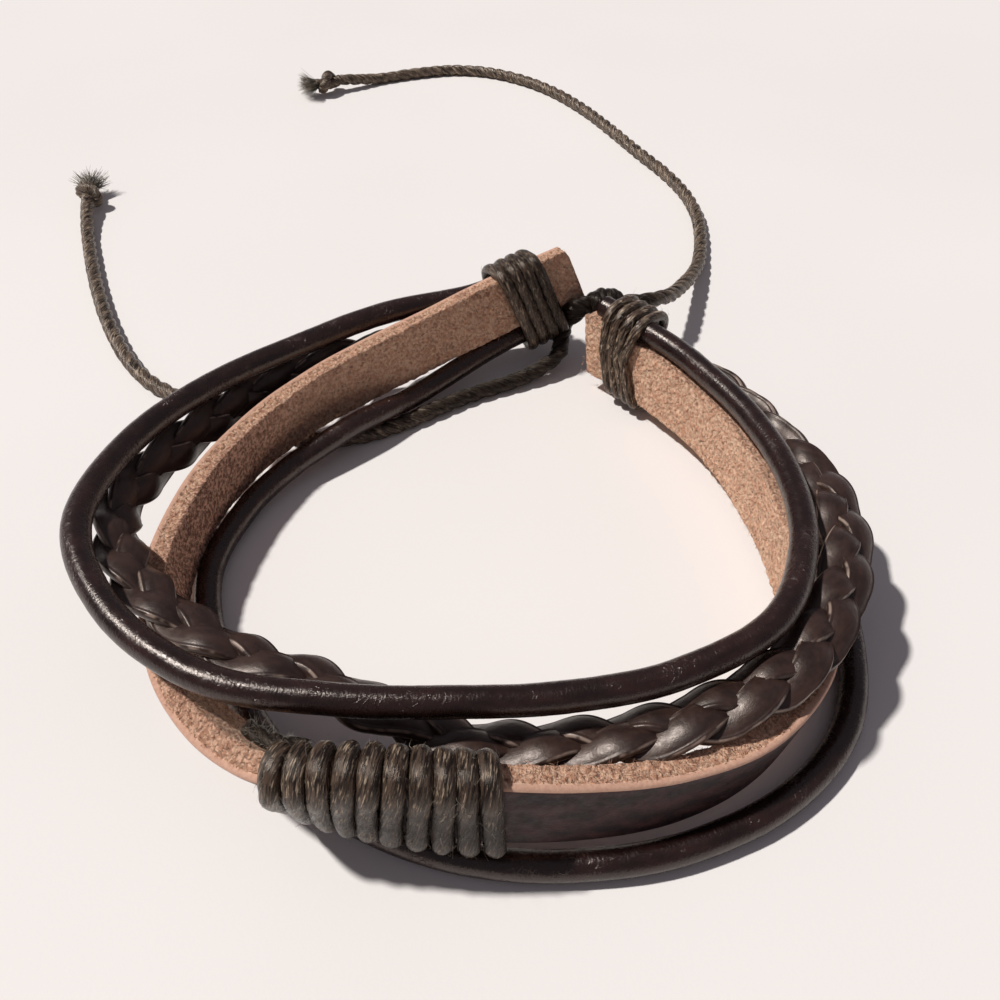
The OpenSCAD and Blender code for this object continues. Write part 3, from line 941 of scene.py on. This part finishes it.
@dataclass
class FlatStrap:
    """The flat strap: suede inside, grain leather outside, raw cut edges between them."""

    ring_step: float = 0.26
    edge_hollow: float = 0.12
    face_bulge: float = 0.02
    face_bend: float = 1.4
    outer_margin: float = 0.5
    inner_margin: float = 0.15
    shoulder: tuple[Pair, Pair] = ((0.16, 0.12), (0.3, 0.02))
    corner_sharpness: float = 12.0
    nap_repeats: float = 1.9
    nap_depth: float = 0.11
    wave_depth: float = 0.05
    left_slant: float = 1.2
    right_slant: float = 2.2
    slant_reach: float = 6.0
    corner_cut: float = 2.0
    corner_share: float = 0.36
    corner_reach: float = 2.0
    # Painted shade on the inner face around one place along the strap
    inner_shade_tone: float = 0.9
    inner_shade_place: float = 60.0
    inner_shade_reach: float = 21.0
    # A darker top edge all along, darker still with painted shade around one place
    edge_tone: float = 0.35
    edge_shade_place: float = 78.0
    edge_shade_reach: float = 14.0
    nap_fibres: int = 9000
    nap_on_face: float = 0.6
    nap_on_top: float = 0.25
    nap_root: float = 0.03
    nap_lift: float = 0.55
    nap_through: float = 0.55
    nap_margin: float = 0.1
    nap_lengths: Pair = (0.18, 0.5)
    nap: Fibres = Fibres(0.06, 3, 0.35)
    seed: int = 11

    def edge(self, side: int, first: float, last: float) -> list[Pair]:
        """Places over a cut edge, which is a little hollow.

        Args:
            side: 1 for the top edge and -1 for the bottom one.
            first: the share of the strap's thickness where the places start.
            last: the share where they end.

        Returns:
            The places as (up, out).
        """
        shares = np.linspace(first, last, 9)
        up = side * (HALF_WIDTH - self.edge_hollow * np.sin(np.pi * shares))
        return list(zip(up, side * HALF_THICKNESS * (2 * shares - 1)))

    def face(self, side: int, margin: float, count: int) -> list[Pair]:
        """Places over a slightly bulging face.

        Args:
            side: 1 for the outer face from the top down, and -1 for the inner one upwards.
            margin: how far the places stay from the strap's edges.
            count: how many places there are.

        Returns:
            The places as (up, out).
        """
        reach = side * (HALF_WIDTH - margin)
        up = np.linspace(reach, -reach, count)
        bulge = self.face_bulge * np.cos(up / HALF_WIDTH * self.face_bend)
        return list(zip(up, side * (HALF_THICKNESS + bulge)))

    def section(self) -> tuple[Array, Array, Array]:
        """The strap's section, from the inner top corner over the top edge and down the outer side.

        Returns:
            Its places as (up, out), their rim values, and the material slots of its sides.
        """
        top, outer = self.edge(1, 0.04, 0.9), self.face(1, self.outer_margin, 18)
        bottom, inner = self.edge(-1, 0.1, 0.96), self.face(-1, self.inner_margin, 24)
        shoulder = [(HALF_WIDTH - down, HALF_THICKNESS - back) for down, back in self.shoulder]
        under = [(-up, out) for up, out in reversed(shoulder)]
        places = np.array(top + shoulder + outer + under + bottom + inner)
        first = len(top) + len(shoulder)
        last = first + len(outer)
        rim, slots = np.zeros(len(places)), np.zeros(len(places), int)
        rim[first - 4:first] = 1
        rim[last:last + 4] = 1
        slots[first - 1:last] = 1
        return places, rim, slots

    def cut(self, s: Array, places: Array) -> Array:
        """How far each place moves ahead, where the two ends are cut at a slant.

        Args:
            s: the rings' lengths along the strap.
            places: the section's places.

        Returns:
            The moves, ring by ring.
        """
        share = places[None, :, 0] / STRAP_WIDTH
        left, corner = (fade(s, reach)[:, None] for reach in (self.slant_reach, self.corner_reach))
        right = fade(STRAP.length - s, self.slant_reach)[:, None]
        cut = self.left_slant * (share - 0.5) * left
        cut = cut + self.corner_cut * np.clip(share - self.corner_share, 0, 1) * corner
        return cut + self.right_slant * share * right

    def tones(self, s: Array, places: Array) -> Array:
        """Painted shade on the inner side, and a darker top edge with painted shade along one stretch.

        Args:
            s: the rings' lengths along the strap.
            places: the section's places.

        Returns:
            The tones, ring by ring.
        """
        inner = np.clip(-places[:, 1] / HALF_THICKNESS, 0, 1)
        top = np.clip(places[:, 0] / HALF_WIDTH * 8 - 7, 0, 1)
        # Painted shade on the inner face
        painted_light = self.inner_shade_tone * hump(s, self.inner_shade_place, self.inner_shade_reach, 4)
        # The top edge is darker all along, with painted shade on it around one place
        edge = self.edge_tone * (1 + hump(s, self.edge_shade_place, self.edge_shade_reach))
        return np.maximum(painted_light[:, None] * inner, edge[:, None] * top)

    def build(self) -> None:
        """Builds the strap and its nap."""
        places, rim, slots = self.section()
        grain = Grain(self.seed)
        s = np.linspace(0, STRAP.length, int(STRAP.length / self.ring_step))
        points, heading, wide, deep = STRAP.at(s)
        flat = unbent(s, places)
        is_raw = (slots == 0) & (rim < 0.5)
        rough = grain.layers(flat * self.nap_repeats, 3) * self.nap_depth * is_raw
        waves = grain.at(flat * (0.22, 0.1, 0.1)) * self.wave_depth
        facing = places / (HALF_WIDTH, HALF_THICKNESS)
        facing = unit(np.sign(facing) * np.abs(facing)**self.corner_sharpness)
        moved = places[None] + facing[None] * (rough + waves)[..., None]
        rings = offset(points, wide, deep, moved[..., 0], moved[..., 1])
        rings = rings + heading[:, None] * self.cut(s, places)[..., None]
        skin = Skin()
        skin.add(rings, flat, rim=rim, tone=self.tones(s, places), slots=slots)
        dress(skin, "strap", [RawLeather().material(), GrainLeather().material()], Slot.SUEDE, "flat_strap")
        self.build_nap()

    def build_nap(self) -> None:
        """Builds the loose fibres on the suede and along the cut edges."""
        rng = np.random.default_rng(self.seed)
        count = self.nap_fibres
        s = rng.uniform(self.nap_margin, STRAP.length - self.nap_margin, count)
        kind = rng.uniform(size=count)
        on_face, on_top = kind < self.nap_on_face, kind < self.nap_on_face + self.nap_on_top
        across = rng.uniform(-HALF_WIDTH, HALF_WIDTH, count)
        up = np.where(on_face, across, np.where(on_top, HALF_WIDTH, -HALF_WIDTH))
        through = rng.uniform(-HALF_THICKNESS, self.nap_through * HALF_THICKNESS, count)
        out = np.where(on_face, -HALF_THICKNESS, through)
        points, heading, wide, deep = STRAP.at(s)
        normal = np.where(on_face[:, None], -deep, wide * np.sign(up)[:, None])
        roots = points + wide * up[:, None] + deep * out[:, None] - self.nap_root * normal
        slide = rng.normal(size=(count, 1)) * heading
        slide = slide + rng.normal(size=(count, 1)) * np.cross(normal, heading)
        lengths = rng.uniform(*self.nap_lengths, count)
        skin = Skin()
        self.nap.add(skin, roots, unit(self.nap_lift * normal + slide), lengths, rng)
        dress(skin, "strap_nap", [NAP_FIBRE.material()], Slot.SUEDE)


@dataclass
class RoundCord:
    """One of the two polished round leather cords."""

    name: str
    node: str
    line: Line
    seed: int
    sides: int = 28
    ring_step: float = 0.28
    end_step: float = 0.05
    end_shares: tuple[float, float, float] = (0.45, 0.9, 0.98)
    dent_depth: float = 0.03
    ripple_depth: float = 0.012

    def build(self, material: Material) -> None:
        """Builds the cord with its slight dents and its rounded ends.

        Args:
            material: the cord's finish.
        """
        grain = Grain(self.seed)
        length, step = self.line.length, self.end_step
        s = np.linspace(0, length, int(length / self.ring_step))
        s = np.r_[0, 0, step, s[1:-1], length - step, length, length]
        shares = np.r_[self.end_shares, np.ones(len(s) - 6), self.end_shares[::-1]]
        around = circle(self.sides)
        flat = unbent(s, REACH * np.c_[np.cos(around), np.sin(around)])
        dents = self.dent_depth * grain.at(flat * (0.35, 0.5, 0.5))
        dents = dents + self.ripple_depth * grain.layers(flat * (1.6, 0.9, 0.9), 3)
        radius = (REACH + dents) * shares[:, None]
        points, _, wide, deep = self.line.at(s)
        skin = Skin()
        skin.add(offset(points, wide, deep, radius * np.cos(around), radius * np.sin(around)), flat)
        dress(skin, self.name, [material], Slot.ROUND, self.node)


@dataclass
class Braid:
    """The flat braid of three plump folded strips."""

    line: Line
    strip_width: float = 2.8
    strip_thickness: float = 1.3
    swing: float = 1.2
    rise: float = 0.56
    roll: float = 16.0
    plump: float = 0.10
    pillow: float = 0.95
    lip_height: float = 0.13
    lip_place: float = 0.9
    lip_reach: float = 0.06
    lip_from: float = 0.1
    # Where the painted highlight lies across a strip's edges
    highlight_from: float = 0.86
    highlight_rise: float = 0.07
    highlight_fall: float = 0.03
    tight_place: float = 50.0
    tight_reach: float = 24.0
    tight_share: float = 0.07
    unevenness: float = 0.03
    grain_shift: float = 40.0
    sides: int = 40
    ring_step: float = 0.2

    def section(self) -> tuple[Array, Array]:
        """One strip's pillow-shaped section with a fine raised lip at its edges.

        Returns:
            Its places as (across, out), and their rim values, which place the painted edge highlight.
        """
        angle = circle(self.sides)
        across = np.cos(angle)
        far = np.abs(across)
        depth = np.sign(np.sin(angle)) * np.abs(np.sin(angle))**self.pillow
        lip = hump(far, self.lip_place, self.lip_reach) * (np.abs(depth) > self.lip_from)
        places = np.c_[across * self.strip_width / 2, depth * self.strip_thickness / 2]
        places[:, 1] += self.lip_height * lip * np.sign(places[:, 1])
        # Rim values: the painted highlight near the edges
        painted_light = np.clip((far - self.highlight_from) / self.highlight_rise, 0, 1)
        return places, painted_light * np.clip((1 - far) / self.highlight_fall, 0, 1)

    def strip(self, lag: float, seed: int) -> Skin:
        """The skin of one strip.

        Args:
            lag: where it starts in the braid's rhythm, in degrees.
            seed: for its small unevenness.

        Returns:
            The skin.
        """
        s = np.linspace(0, self.line.length, int(self.line.length / self.ring_step))
        phase = 2 * np.pi * s / BRAID_PITCH + math.radians(lag)
        point, _, wide, deep = self.line.at(s)
        squeeze = 1 - self.tight_share * hump(s, self.tight_place, self.tight_reach)
        side = self.swing * squeeze * np.cos(phase)
        lift = -self.rise * np.sin(2 * phase)
        middle = point + wide * side[:, None] + deep * lift[:, None]
        ahead = unit(np.gradient(middle, axis=0))
        tilt = math.radians(self.roll) * np.cos(phase) * np.abs(np.cos(phase))
        out = deep * np.cos(tilt)[:, None] - wide * np.sin(tilt)[:, None]
        out = unit(out - ahead * np.sum(out * ahead, axis=1, keepdims=True))
        places, rim = self.section()
        flat = unbent(s + self.grain_shift * lag, places)
        size = 1 + self.unevenness * Grain(seed).at(flat * (0.5, 0.3, 0.3))
        size = size * (squeeze * (1 + self.plump * np.abs(np.sin(2 * phase))))[:, None]
        skin = Skin()
        rings = offset(middle, np.cross(ahead, out), out, size * places[:, 0], size * places[:, 1])
        skin.add(rings, flat, rim=rim)
        return skin

    def build(self, material: Material) -> None:
        """Builds the three strips, each for its own node.

        Args:
            material: the braid's finish.
        """
        for letter, lag in zip("abc", (0, 120, 240)):
            strip = self.strip(lag, 31 + lag)
            dress(strip, f"braid_strip_{letter}", [material], Slot.BRAID, f"braid_strand_{letter}")


@dataclass
class Winding:
    """Turns of waxed cord round the strap or round one of the end bundles.

    The first and the last turn's places along the strap are given at its top, middle and bottom,
    because the turns fan out and lean. The corners' radii start at the outer top one.
    """

    name: str
    node: str
    turns: int
    low: Pair
    high: Pair
    corners: tuple[float, float, float, float]
    at_top: Pair
    at_middle: Pair
    at_bottom: Pair
    seed: int
    begin: float = 0.25
    breadth: float = 1.72
    depth: float = 1.6
    hug: float = -0.06
    sag: float = 0.0
    sag_share: float = 0.4
    tucked: float = 0.04
    wander: float = 0.07
    steps_a_turn: int = 96
    hairs: int = 220
    hair: Fibres = Fibres(0.04, 5, 0.3)
    hair_lengths: Pair = (0.3, 1.2)
    hair_lift: float = 0.3
    hair_spread: float = 0.3
    # Painted shade from the first to the last turn, and a band of painted shade a little below the middle
    painted_shade: Pair = (0.0, 0.0)
    lower_shade: float = 0.0
    lower_shade_place: float = 0.4
    lower_shade_reach: float = 0.3
    cord: WaxedCord = WaxedCord(diameter=1.0, groove=0.05, pitch=28.0, sides=22)

    def places(self, angle: Array) -> tuple[Array, Array]:
        """Where the middle of a turn lies in the strap's section at an angle round it.

        Args:
            angle: from 0 at the top, in turns; it grows over the outer side, down and back up.

        Returns:
            The places and the directions in which they face, each as (up, out).
        """
        low, high = np.array(self.low), np.array(self.high)
        middle, half = (low + high) / 2, (high - low) / 2
        signs = ((1, 1), (-1, 1), (-1, -1), (1, -1))
        outline, facings = [], []
        for quarter, (sign, corner) in enumerate(zip(signs, self.corners)):
            for share in np.linspace(0, 1, 9):
                turn = math.radians(90 * (quarter + share))
                facing = np.array((math.cos(turn), math.sin(turn)))
                reach = corner + self.hug + self.depth / 2
                outline.append(middle + np.array(sign) * (half - corner) + reach * facing)
                facings.append(facing)
        outline, facings = (np.array([*rows, rows[0]]) for rows in (outline, facings))
        lengths = lengths_along(outline)
        at = (angle % 1.0) * lengths[-1]
        return read(at, lengths, outline), unit(read(at, lengths, facings))

    def build(self, material: Material, fibre: Material) -> None:
        """Builds the turns as one run of cord, and the hairs on it.

        Args:
            material: the cord's finish.
            fibre: the hairs' finish.
        """
        grain = Grain(self.seed)
        u = np.linspace(self.tucked, self.turns - self.tucked, self.turns * self.steps_a_turn)
        seat, facing = self.places(u + self.begin)
        share = np.clip((seat[:, 0] - self.low[0]) / (self.high[0] - self.low[0]), 0, 1)
        order = (u - 0.5) / (self.turns - 1)
        ends = np.array([self.at_bottom, self.at_middle, self.at_top])
        first, last = (np.interp(share, (0, 0.5, 1), places) for places in ends.T)
        s = first + (last - first) * order + self.wander * grain.at(np.c_[u * 3, u * 0, u * 0])
        drop = self.sag * fade(order, self.sag_share) * (1 - share)**2
        point, heading, wide, deep = STRAP.at(s)
        path = point + wide * (seat[:, 0] - drop)[:, None] + deep * seat[:, 1:]
        out = wide * facing[:, :1] + deep * facing[:, 1:]
        rings, flat = self.cord.rings(path, heading, out, grain, (self.breadth, self.depth))
        # Painted shade along the turns and on their lower middle
        tone = self.painted_shade[0] + (self.painted_shade[1] - self.painted_shade[0]) * np.clip(order, 0, 1)
        tone = np.clip(tone + self.lower_shade * hump(share, self.lower_shade_place, self.lower_shade_reach), 0, 1)
        skin = Skin()
        skin.add(rings, flat * (1.0, self.breadth, self.depth), tone=tone[:, None])
        dress(skin, self.name, [material], Slot.WAXED, self.node)
        self.build_hairs(rings, path, fibre)

    def build_hairs(self, rings: Array, path: Array, fibre: Material) -> None:
        """Builds short hairs that lie off the turns.

        Args:
            rings: the turns' skin.
            path: its middle line.
            fibre: the hairs' finish.
        """
        rng = np.random.default_rng(self.seed)
        picks = rng.integers(0, len(path) - 1, self.hairs)
        sides = rng.integers(0, rings.shape[1], self.hairs)
        roots = rings[picks, sides]
        ahead = unit(path[picks + 1] - path[picks]) * rng.choice((-1, 1), (self.hairs, 1))
        ahead = ahead + self.hair_lift * unit(roots - path[picks])
        ways = unit(ahead + self.hair_spread * rng.normal(size=(self.hairs, 3)))
        skin = Skin()
        self.hair.add(skin, roots, ways, rng.uniform(*self.hair_lengths, self.hairs), rng)
        dress(skin, f"{self.name}_hairs", [fibre], Slot.WAXED)


@dataclass
class Tail:
    """A free tail of twisted waxed cord that ends in an overhand knot with frayed plies."""

    name: str
    node: str
    route: tuple
    length: float
    seed: int
    knot_length: float = 5.0
    knot_run: float = 1.5
    knot_side: float = 1.75
    knot_rise: float = 2.1
    knot_reach: float = 1.9
    knot_core: float = 1.55
    fray: Fibres = Fibres(0.11, 7, 0.12)
    fray_length: float = 3.6
    fray_shares: Pair = (0.75, 1.05)
    fray_fibres: int = 340
    fray_start: float = 0.5
    fray_radius: float = 0.6
    fray_spread: float = 0.38
    fray_wander: float = 0.1
    fray_pale: float = 0.8
    tuft_share: float = 0.4
    tuft_sides: Pair = (-0.75, 0.35)
    # Painted shade on the tail near its start, fading over a length
    painted_shade: float = 0.85
    painted_shade_length: float = 8.0
    cord: WaxedCord = WaxedCord(diameter=1.95, pitch=6.6, groove=0.26)
    knot_cord: WaxedCord = WaxedCord(diameter=1.9, pitch=4.0, groove=0.2)

    def knot_line(self) -> Line:
        """The line of the overhand knot, a threefold loop between two straight ends.

        Returns:
            The line from the tail's end to where its plies fray.
        """
        route = laid(self.route)
        end = route[-1]
        ahead = unit((end - route[-2]) * (1, 1, 0))
        across = unit(np.cross(UP, ahead))
        t = np.linspace(-self.knot_reach, self.knot_reach, 25)
        shrink = np.clip(self.knot_reach - np.abs(t), 0, 1)
        run = self.knot_run * (t**5 - 10 * t) / 9.5
        side = self.knot_side * shrink * (t**3 - 3 * t) / 2.6
        rise = self.knot_rise * shrink * (t**4 - 4 * t**2 + 2) / 4
        middle = end + ahead * (GAP + self.knot_length / 2)
        core = middle + np.outer(run, ahead) + np.outer(side, across) + np.outer(rise, UP)
        start, finish = (end + ahead * (GAP + past) for past in (0, self.knot_length))
        return open_line(np.vstack([start, core[np.abs(t) < self.knot_core], finish]), KNOT_ROWS)

    def build(self, material: Material, fibre: Material) -> None:
        """Args:
            material: the cord's finish.
            fibre: the frayed end's finish.
        """
        grain = Grain(self.seed)
        knot_line = self.knot_line()
        rings, flat, _ = self.knot_cord.along(knot_line, grain)
        skin = Skin()
        skin.add(rings, flat)
        knot = dress(skin, f"{self.name}_overhand_knot", [material], Slot.WAXED, f"{self.node}_knot")
        fray = self.build_fray(knot_line, fibre)
        rings, flat, points = self.cord.along(open_line(laid(self.route), TAIL_ROWS), grain)
        skin = Skin()
        # Painted shade near the tail's start
        painted_shade = self.painted_shade * np.clip(1.5 - 1.5 * flat[:, :1, 0] / self.painted_shade_length, 0, 1)
        skin.add(rings, flat, tone=painted_shade)
        tail = dress(skin, self.name, [material], Slot.WAXED, self.node)

    def build_fray(self, knot_line: Line, fibre: Material) -> Thing:
        """Builds the two splayed tufts past the knot.

        Args:
            knot_line: the knot's line.
            fibre: the tufts' finish.

        Returns:
            The tufts as one object.
        """
        rng = np.random.default_rng(self.seed + 5)
        count = self.fray_fibres
        end, ahead, wide, deep = knot_line.at(knot_line.length - self.fray_start)
        angle = rng.uniform(0, 2 * np.pi, count)
        radius = np.sqrt(rng.uniform(size=count))
        ring = np.outer(radius * np.cos(angle), wide) + np.outer(radius * np.sin(angle), deep)
        tuft = np.where(rng.uniform(size=(count, 1)) < self.tuft_share, *self.tuft_sides)
        ways = ahead + tuft * np.cross(UP, ahead) + self.fray_spread * ring
        ways = unit(ways + self.fray_wander * rng.normal(size=(count, 3)))
        lengths = rng.uniform(*self.fray_shares, count) * self.fray_length
        skin = Skin()
        self.fray.add(skin, end + self.fray_radius * ring, ways, lengths, rng, self.fray_pale)
        return dress(skin, f"{self.name}_frayed_end", [fibre], Slot.WAXED)


@dataclass
class Closure:
    """The two cord ends between the strap's ends and the sliding knot that they meet in."""

    seed: int = 71
    knot_length: float = 4.0
    knot_radius: float = 1.05
    core_radius: float = 0.25
    knot_turns: float = 3.5
    lead: float = 1.4
    inside_knot: float = 0.4
    passing_below: float = 1.5
    left_exit: tuple[float, float, float] = (-1.4, -1.8, 0.6)
    right_seat: Pair = (2.8, 1.7)
    right_exit: Pair = (-1.0, 1.6)
    right_meeting: tuple[float, float, float] = (1.9, -1.95, 0.0)
    # Painted shade over the closure's cords and knot
    painted_shade: float = 0.9
    cord: WaxedCord = WaxedCord(diameter=2.2)
    knot_cord: WaxedCord = WaxedCord(diameter=2.0, groove=0.15)

    def build(self, material: Material) -> None:
        """Builds both cords and the knot.

        Args:
            material: the cord's finish.
        """
        route, passing = laid(TAIL_RIGHT_ROUTE), laid(TAIL_LEFT_ROUTE)
        ahead = unit(route[1] - route[0])
        knot_end = route[0] - GAP * ahead
        knot_start = knot_end - self.knot_length * ahead
        along, up, out = self.left_exit
        start = by_strap(LEFT_BINDING_START + along, (up - HALF_WIDTH, out))
        end = knot_start - GAP * ahead
        lead = self.lead * ahead
        left = np.array([start, (start + end - lead) / 2, end - lead, end + self.inside_knot * ahead])
        passing = np.array([passing[1], passing[0], left[1] - (0, 0, self.passing_below), end])
        seat = (self.right_seat[0], BESIDE_STRAP + self.right_seat[1])
        stub, tip = (by_strap(RIGHT_BINDING_END + past, seat) for past in self.right_exit)
        right = np.array([stub, tip, knot_start + self.right_meeting])
        grain = Grain(self.seed)
        for side, runs in (("left", (left, passing)), ("right", (right,))):
            skin = Skin()
            for points in runs:
                self.run(skin, self.cord, open_line(points, SHORT_ROWS), grain)
            dress(skin, f"closure_{side}", [material], Slot.WAXED, f"closure_cord_{side}")
        skin = Skin()
        self.run(skin, self.knot_cord, self.knot_line(knot_start, ahead), grain)
        dress(skin, "closure_sliding_knot", [material], Slot.WAXED, "closure_knot")

    def run(self, skin: Skin, cord: WaxedCord, line: Line, grain: Grain) -> None:
        """Adds one run of cord with painted shade to a skin."""
        rings, flat, _ = cord.along(line, grain)
        skin.add(rings, flat, tone=self.painted_shade)

    def knot_line(self, start: Array, ahead: Array) -> Line:
        """The knot's line, tight turns in two lumps about the cord's line.

        Args:
            start: where the knot starts.
            ahead: the cord's direction there.

        Returns:
            The line.
        """
        across = unit(np.cross(UP, ahead))
        t = np.linspace(0, 1, 220)
        turn = 2 * np.pi * self.knot_turns * t
        lump = np.abs(np.sin(2 * np.pi * t))**0.5
        radius = self.core_radius + (self.knot_radius - self.core_radius) * lump
        path = start + np.outer(0.5 + (self.knot_length - 1.0) * t, ahead)
        path = path + np.outer(radius * np.cos(turn), across)
        path = path + np.outer(radius * np.sin(turn), np.cross(ahead, across))
        return Line(np.c_[path, np.zeros(len(path))])


@dataclass
class LooseEnd:
    """The tucked cord end at the front wrap, with its hairs."""

    seed: int = 91
    hairs: int = 180
    hair: Fibres = Fibres(0.05, 5, 0.5)
    hair_lengths: Pair = (0.8, 1.7)
    hair_lift: float = 0.3
    bare_rows: int = 8
    # Painted shade over the whole end
    tone: float = 0.85
    cord: WaxedCord = WaxedCord(diameter=1.45)
    places: tuple[tuple[float, float, float], ...] = (
        (2.0, 0.6, 0.8), (0.0, 0.3, 0.85), (-2.2, 0.7, 1.0), (-4.2, 1.2, 1.1),
    )

    def build(self, material: Material, fibre: Material) -> None:
        """Builds the end through its places: past the wrap's start, below the top edge, off the suede.

        Args:
            material: the cord's finish.
            fibre: the hairs' finish.
        """
        rng = np.random.default_rng(self.seed)
        points = np.array([
            by_strap(WRAP_START + along, (HALF_WIDTH - below, -HALF_THICKNESS - off))
            for along, below, off in self.places
        ])
        rings, flat, path = self.cord.along(open_line(points, SHORT_ROWS), Grain(self.seed))
        skin = Skin()
        skin.add(rings, flat, tone=self.tone)
        dress(skin, "front_wrap_loose_end", [material], Slot.WAXED)
        roots = path[rng.integers(self.bare_rows, len(path) - 1, self.hairs)]
        ways = unit(rng.normal(size=(self.hairs, 3)) + (0, 0, self.hair_lift))
        skin = Skin()
        self.hair.add(skin, roots, ways, rng.uniform(*self.hair_lengths, self.hairs), rng)
        dress(skin, "front_wrap_loose_end_hairs", [fibre], Slot.WAXED)


@dataclass
class Studio:
    """The pale surface, the camera and the light."""

    floor_size: float = 3000.0
    sun_strength: float = 3.35
    sun_angle: float = 3.4
    sun_colour: Colour = (1.0, 0.985, 0.965)
    sky: Colour = (0.92, 0.87, 1.0)
    sky_strength: float = 0.17

    def build(self) -> None:
        """Builds the surface, the camera, the sun and the sky."""
        self.build_floor()
        self.build_camera()
        self.build_light()
        bpy.context.scene.view_settings.view_transform = "Standard"

    def build_floor(self) -> None:
        """Builds the surface as the stage."""
        half = self.floor_size * MM / 2
        corners = [(x * half, y * half, 0) for x, y in ((-1, -1), (1, -1), (1, 1), (-1, 1))]
        mesh = bpy.data.meshes.new("floor")
        mesh.from_pydata(corners, [], [(0, 1, 2, 3)])
        mesh.materials.append(PaleSurface().material())
        floor = bpy.data.objects.new("floor", mesh)
        bpy.context.scene.collection.objects.link(floor)

    def build_camera(self) -> None:
        """Builds the camera at the photograph's place."""
        camera = bpy.data.objects.new("camera", bpy.data.cameras.new("camera"))
        camera.data.lens = CAMERA_LENS
        camera.data.sensor_width = CAMERA_SENSOR
        camera.data.clip_start = MM
        camera.location = [x * MM for x in CAMERA_PLACE]
        camera.rotation_euler = (math.radians(90 - CAMERA_TILT), 0, 0)
        bpy.context.scene.collection.objects.link(camera)
        bpy.context.scene.camera = camera

    def build_light(self) -> None:
        """Builds the sun and the sky."""
        lamp = bpy.data.objects.new("sun", bpy.data.lights.new("sun", "SUN"))
        lamp.data.energy = self.sun_strength
        lamp.data.angle = math.radians(self.sun_angle)
        lamp.data.color = self.sun_colour
        lamp.rotation_mode = "QUATERNION"
        lamp.rotation_quaternion = Vector(LIGHT_PATH).to_track_quat("-Z", "Y")
        bpy.context.scene.collection.objects.link(lamp)
        world = bpy.data.worlds.new("sky")
        world.use_nodes = True
        background = world.node_tree.nodes["Background"]
        background.inputs["Color"].default_value = (*self.sky, 1.0)
        background.inputs["Strength"].default_value = self.sky_strength
        bpy.context.scene.world = world


def windings() -> tuple[Winding, Winding, Winding]:
    """The front wrap and the two end bindings.

    Returns:
        The three windings, in the order in which they are built.
    """
    low, high = (-HALF_WIDTH, -HALF_THICKNESS), (HALF_WIDTH, HALF_THICKNESS)
    outside = BESIDE_STRAP + BRAID_THICKNESS + GAP
    end = STRAP.length
    front = Winding(
        "front_turns", "front_wrap", WRAP_TURNS, low, high, (1.0, 1.0, 1.0, 1.0),
        at_top=(94.9, 109.2), at_middle=(93.4, 109.6), at_bottom=(92.0, 110.1), begin=0.75, seed=61,
        breadth=1.80, depth=1.5, sag=1.0, hairs=900, painted_shade=(0.26, 0.42), lower_shade=0.35,
    )
    left = Winding(
        "left_binding_turns", "left_binding", BINDING_TURNS,
        (LOWER_SEATS[0][0] - REACH, LOWER_SEATS[0][1] - REACH), (HALF_WIDTH, outside - 1.0),
        (2.6, 1.6, 1.3, 1.2), at_top=(4.2, 8.6), at_middle=(3.7, 8.1), at_bottom=(3.0, 7.5), seed=62,
        breadth=1.5, depth=1.3, painted_shade=(0.6, 0.25),
    )
    right = Winding(
        "right_binding_turns", "right_binding", BINDING_TURNS, low,
        (UPPER_SEATS[1][0] + REACH - 0.55, outside - 0.2), (2.2, 0.8, 1.0, 1.8),
        at_top=(end - 7.0, end - 2.7), at_middle=(end - 6.2, end - 3.1), at_bottom=(end - 8.8, end - 4.8),
        seed=63, breadth=1.25, depth=1.2,
    )
    return front, left, right


def main() -> None:
    """Builds the bracelet in order and reports each piece."""
    logging.basicConfig(level=logging.INFO, format="%(message)s")
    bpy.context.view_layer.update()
    Studio().build()
    waxed, lighter_waxed, fibre = (finish.material() for finish in (WaxedThread(), TAIL_THREAD, WAXED_FIBRE))
    Tail("tail_right_cord", "tail_right", TAIL_RIGHT_ROUTE, 138.0, 51).build(lighter_waxed, fibre)
    Tail("tail_left_cord", "tail_left", TAIL_LEFT_ROUTE, 110.0, 52, painted_shade_length=46.0).build(lighter_waxed, fibre)
    FlatStrap().build()
    polished = GlossyCordLeather().material()
    upper = strand_line(UPPER_CORD_SECTIONS, UPPER_SEATS, CORD_STUB)
    lower = strand_line(LOWER_CORD_SECTIONS, LOWER_SEATS, STRAND_END_OVERHANG)
    RoundCord("upper_round_cord", "round_cord_upper", upper, 21).build(polished)
    RoundCord("lower_round_cord", "round_cord_lower", lower, 22).build(polished)
    braid = strand_line(BRAID_SECTIONS, BRAID_SEATS, STRAND_END_OVERHANG)
    Braid(braid).build(BraidLeather().material())
    for winding in windings():
        winding.build(waxed, fibre)
    Closure().build(waxed)
    LooseEnd().build(waxed, fibre)


if __name__ == "__main__":
    main()
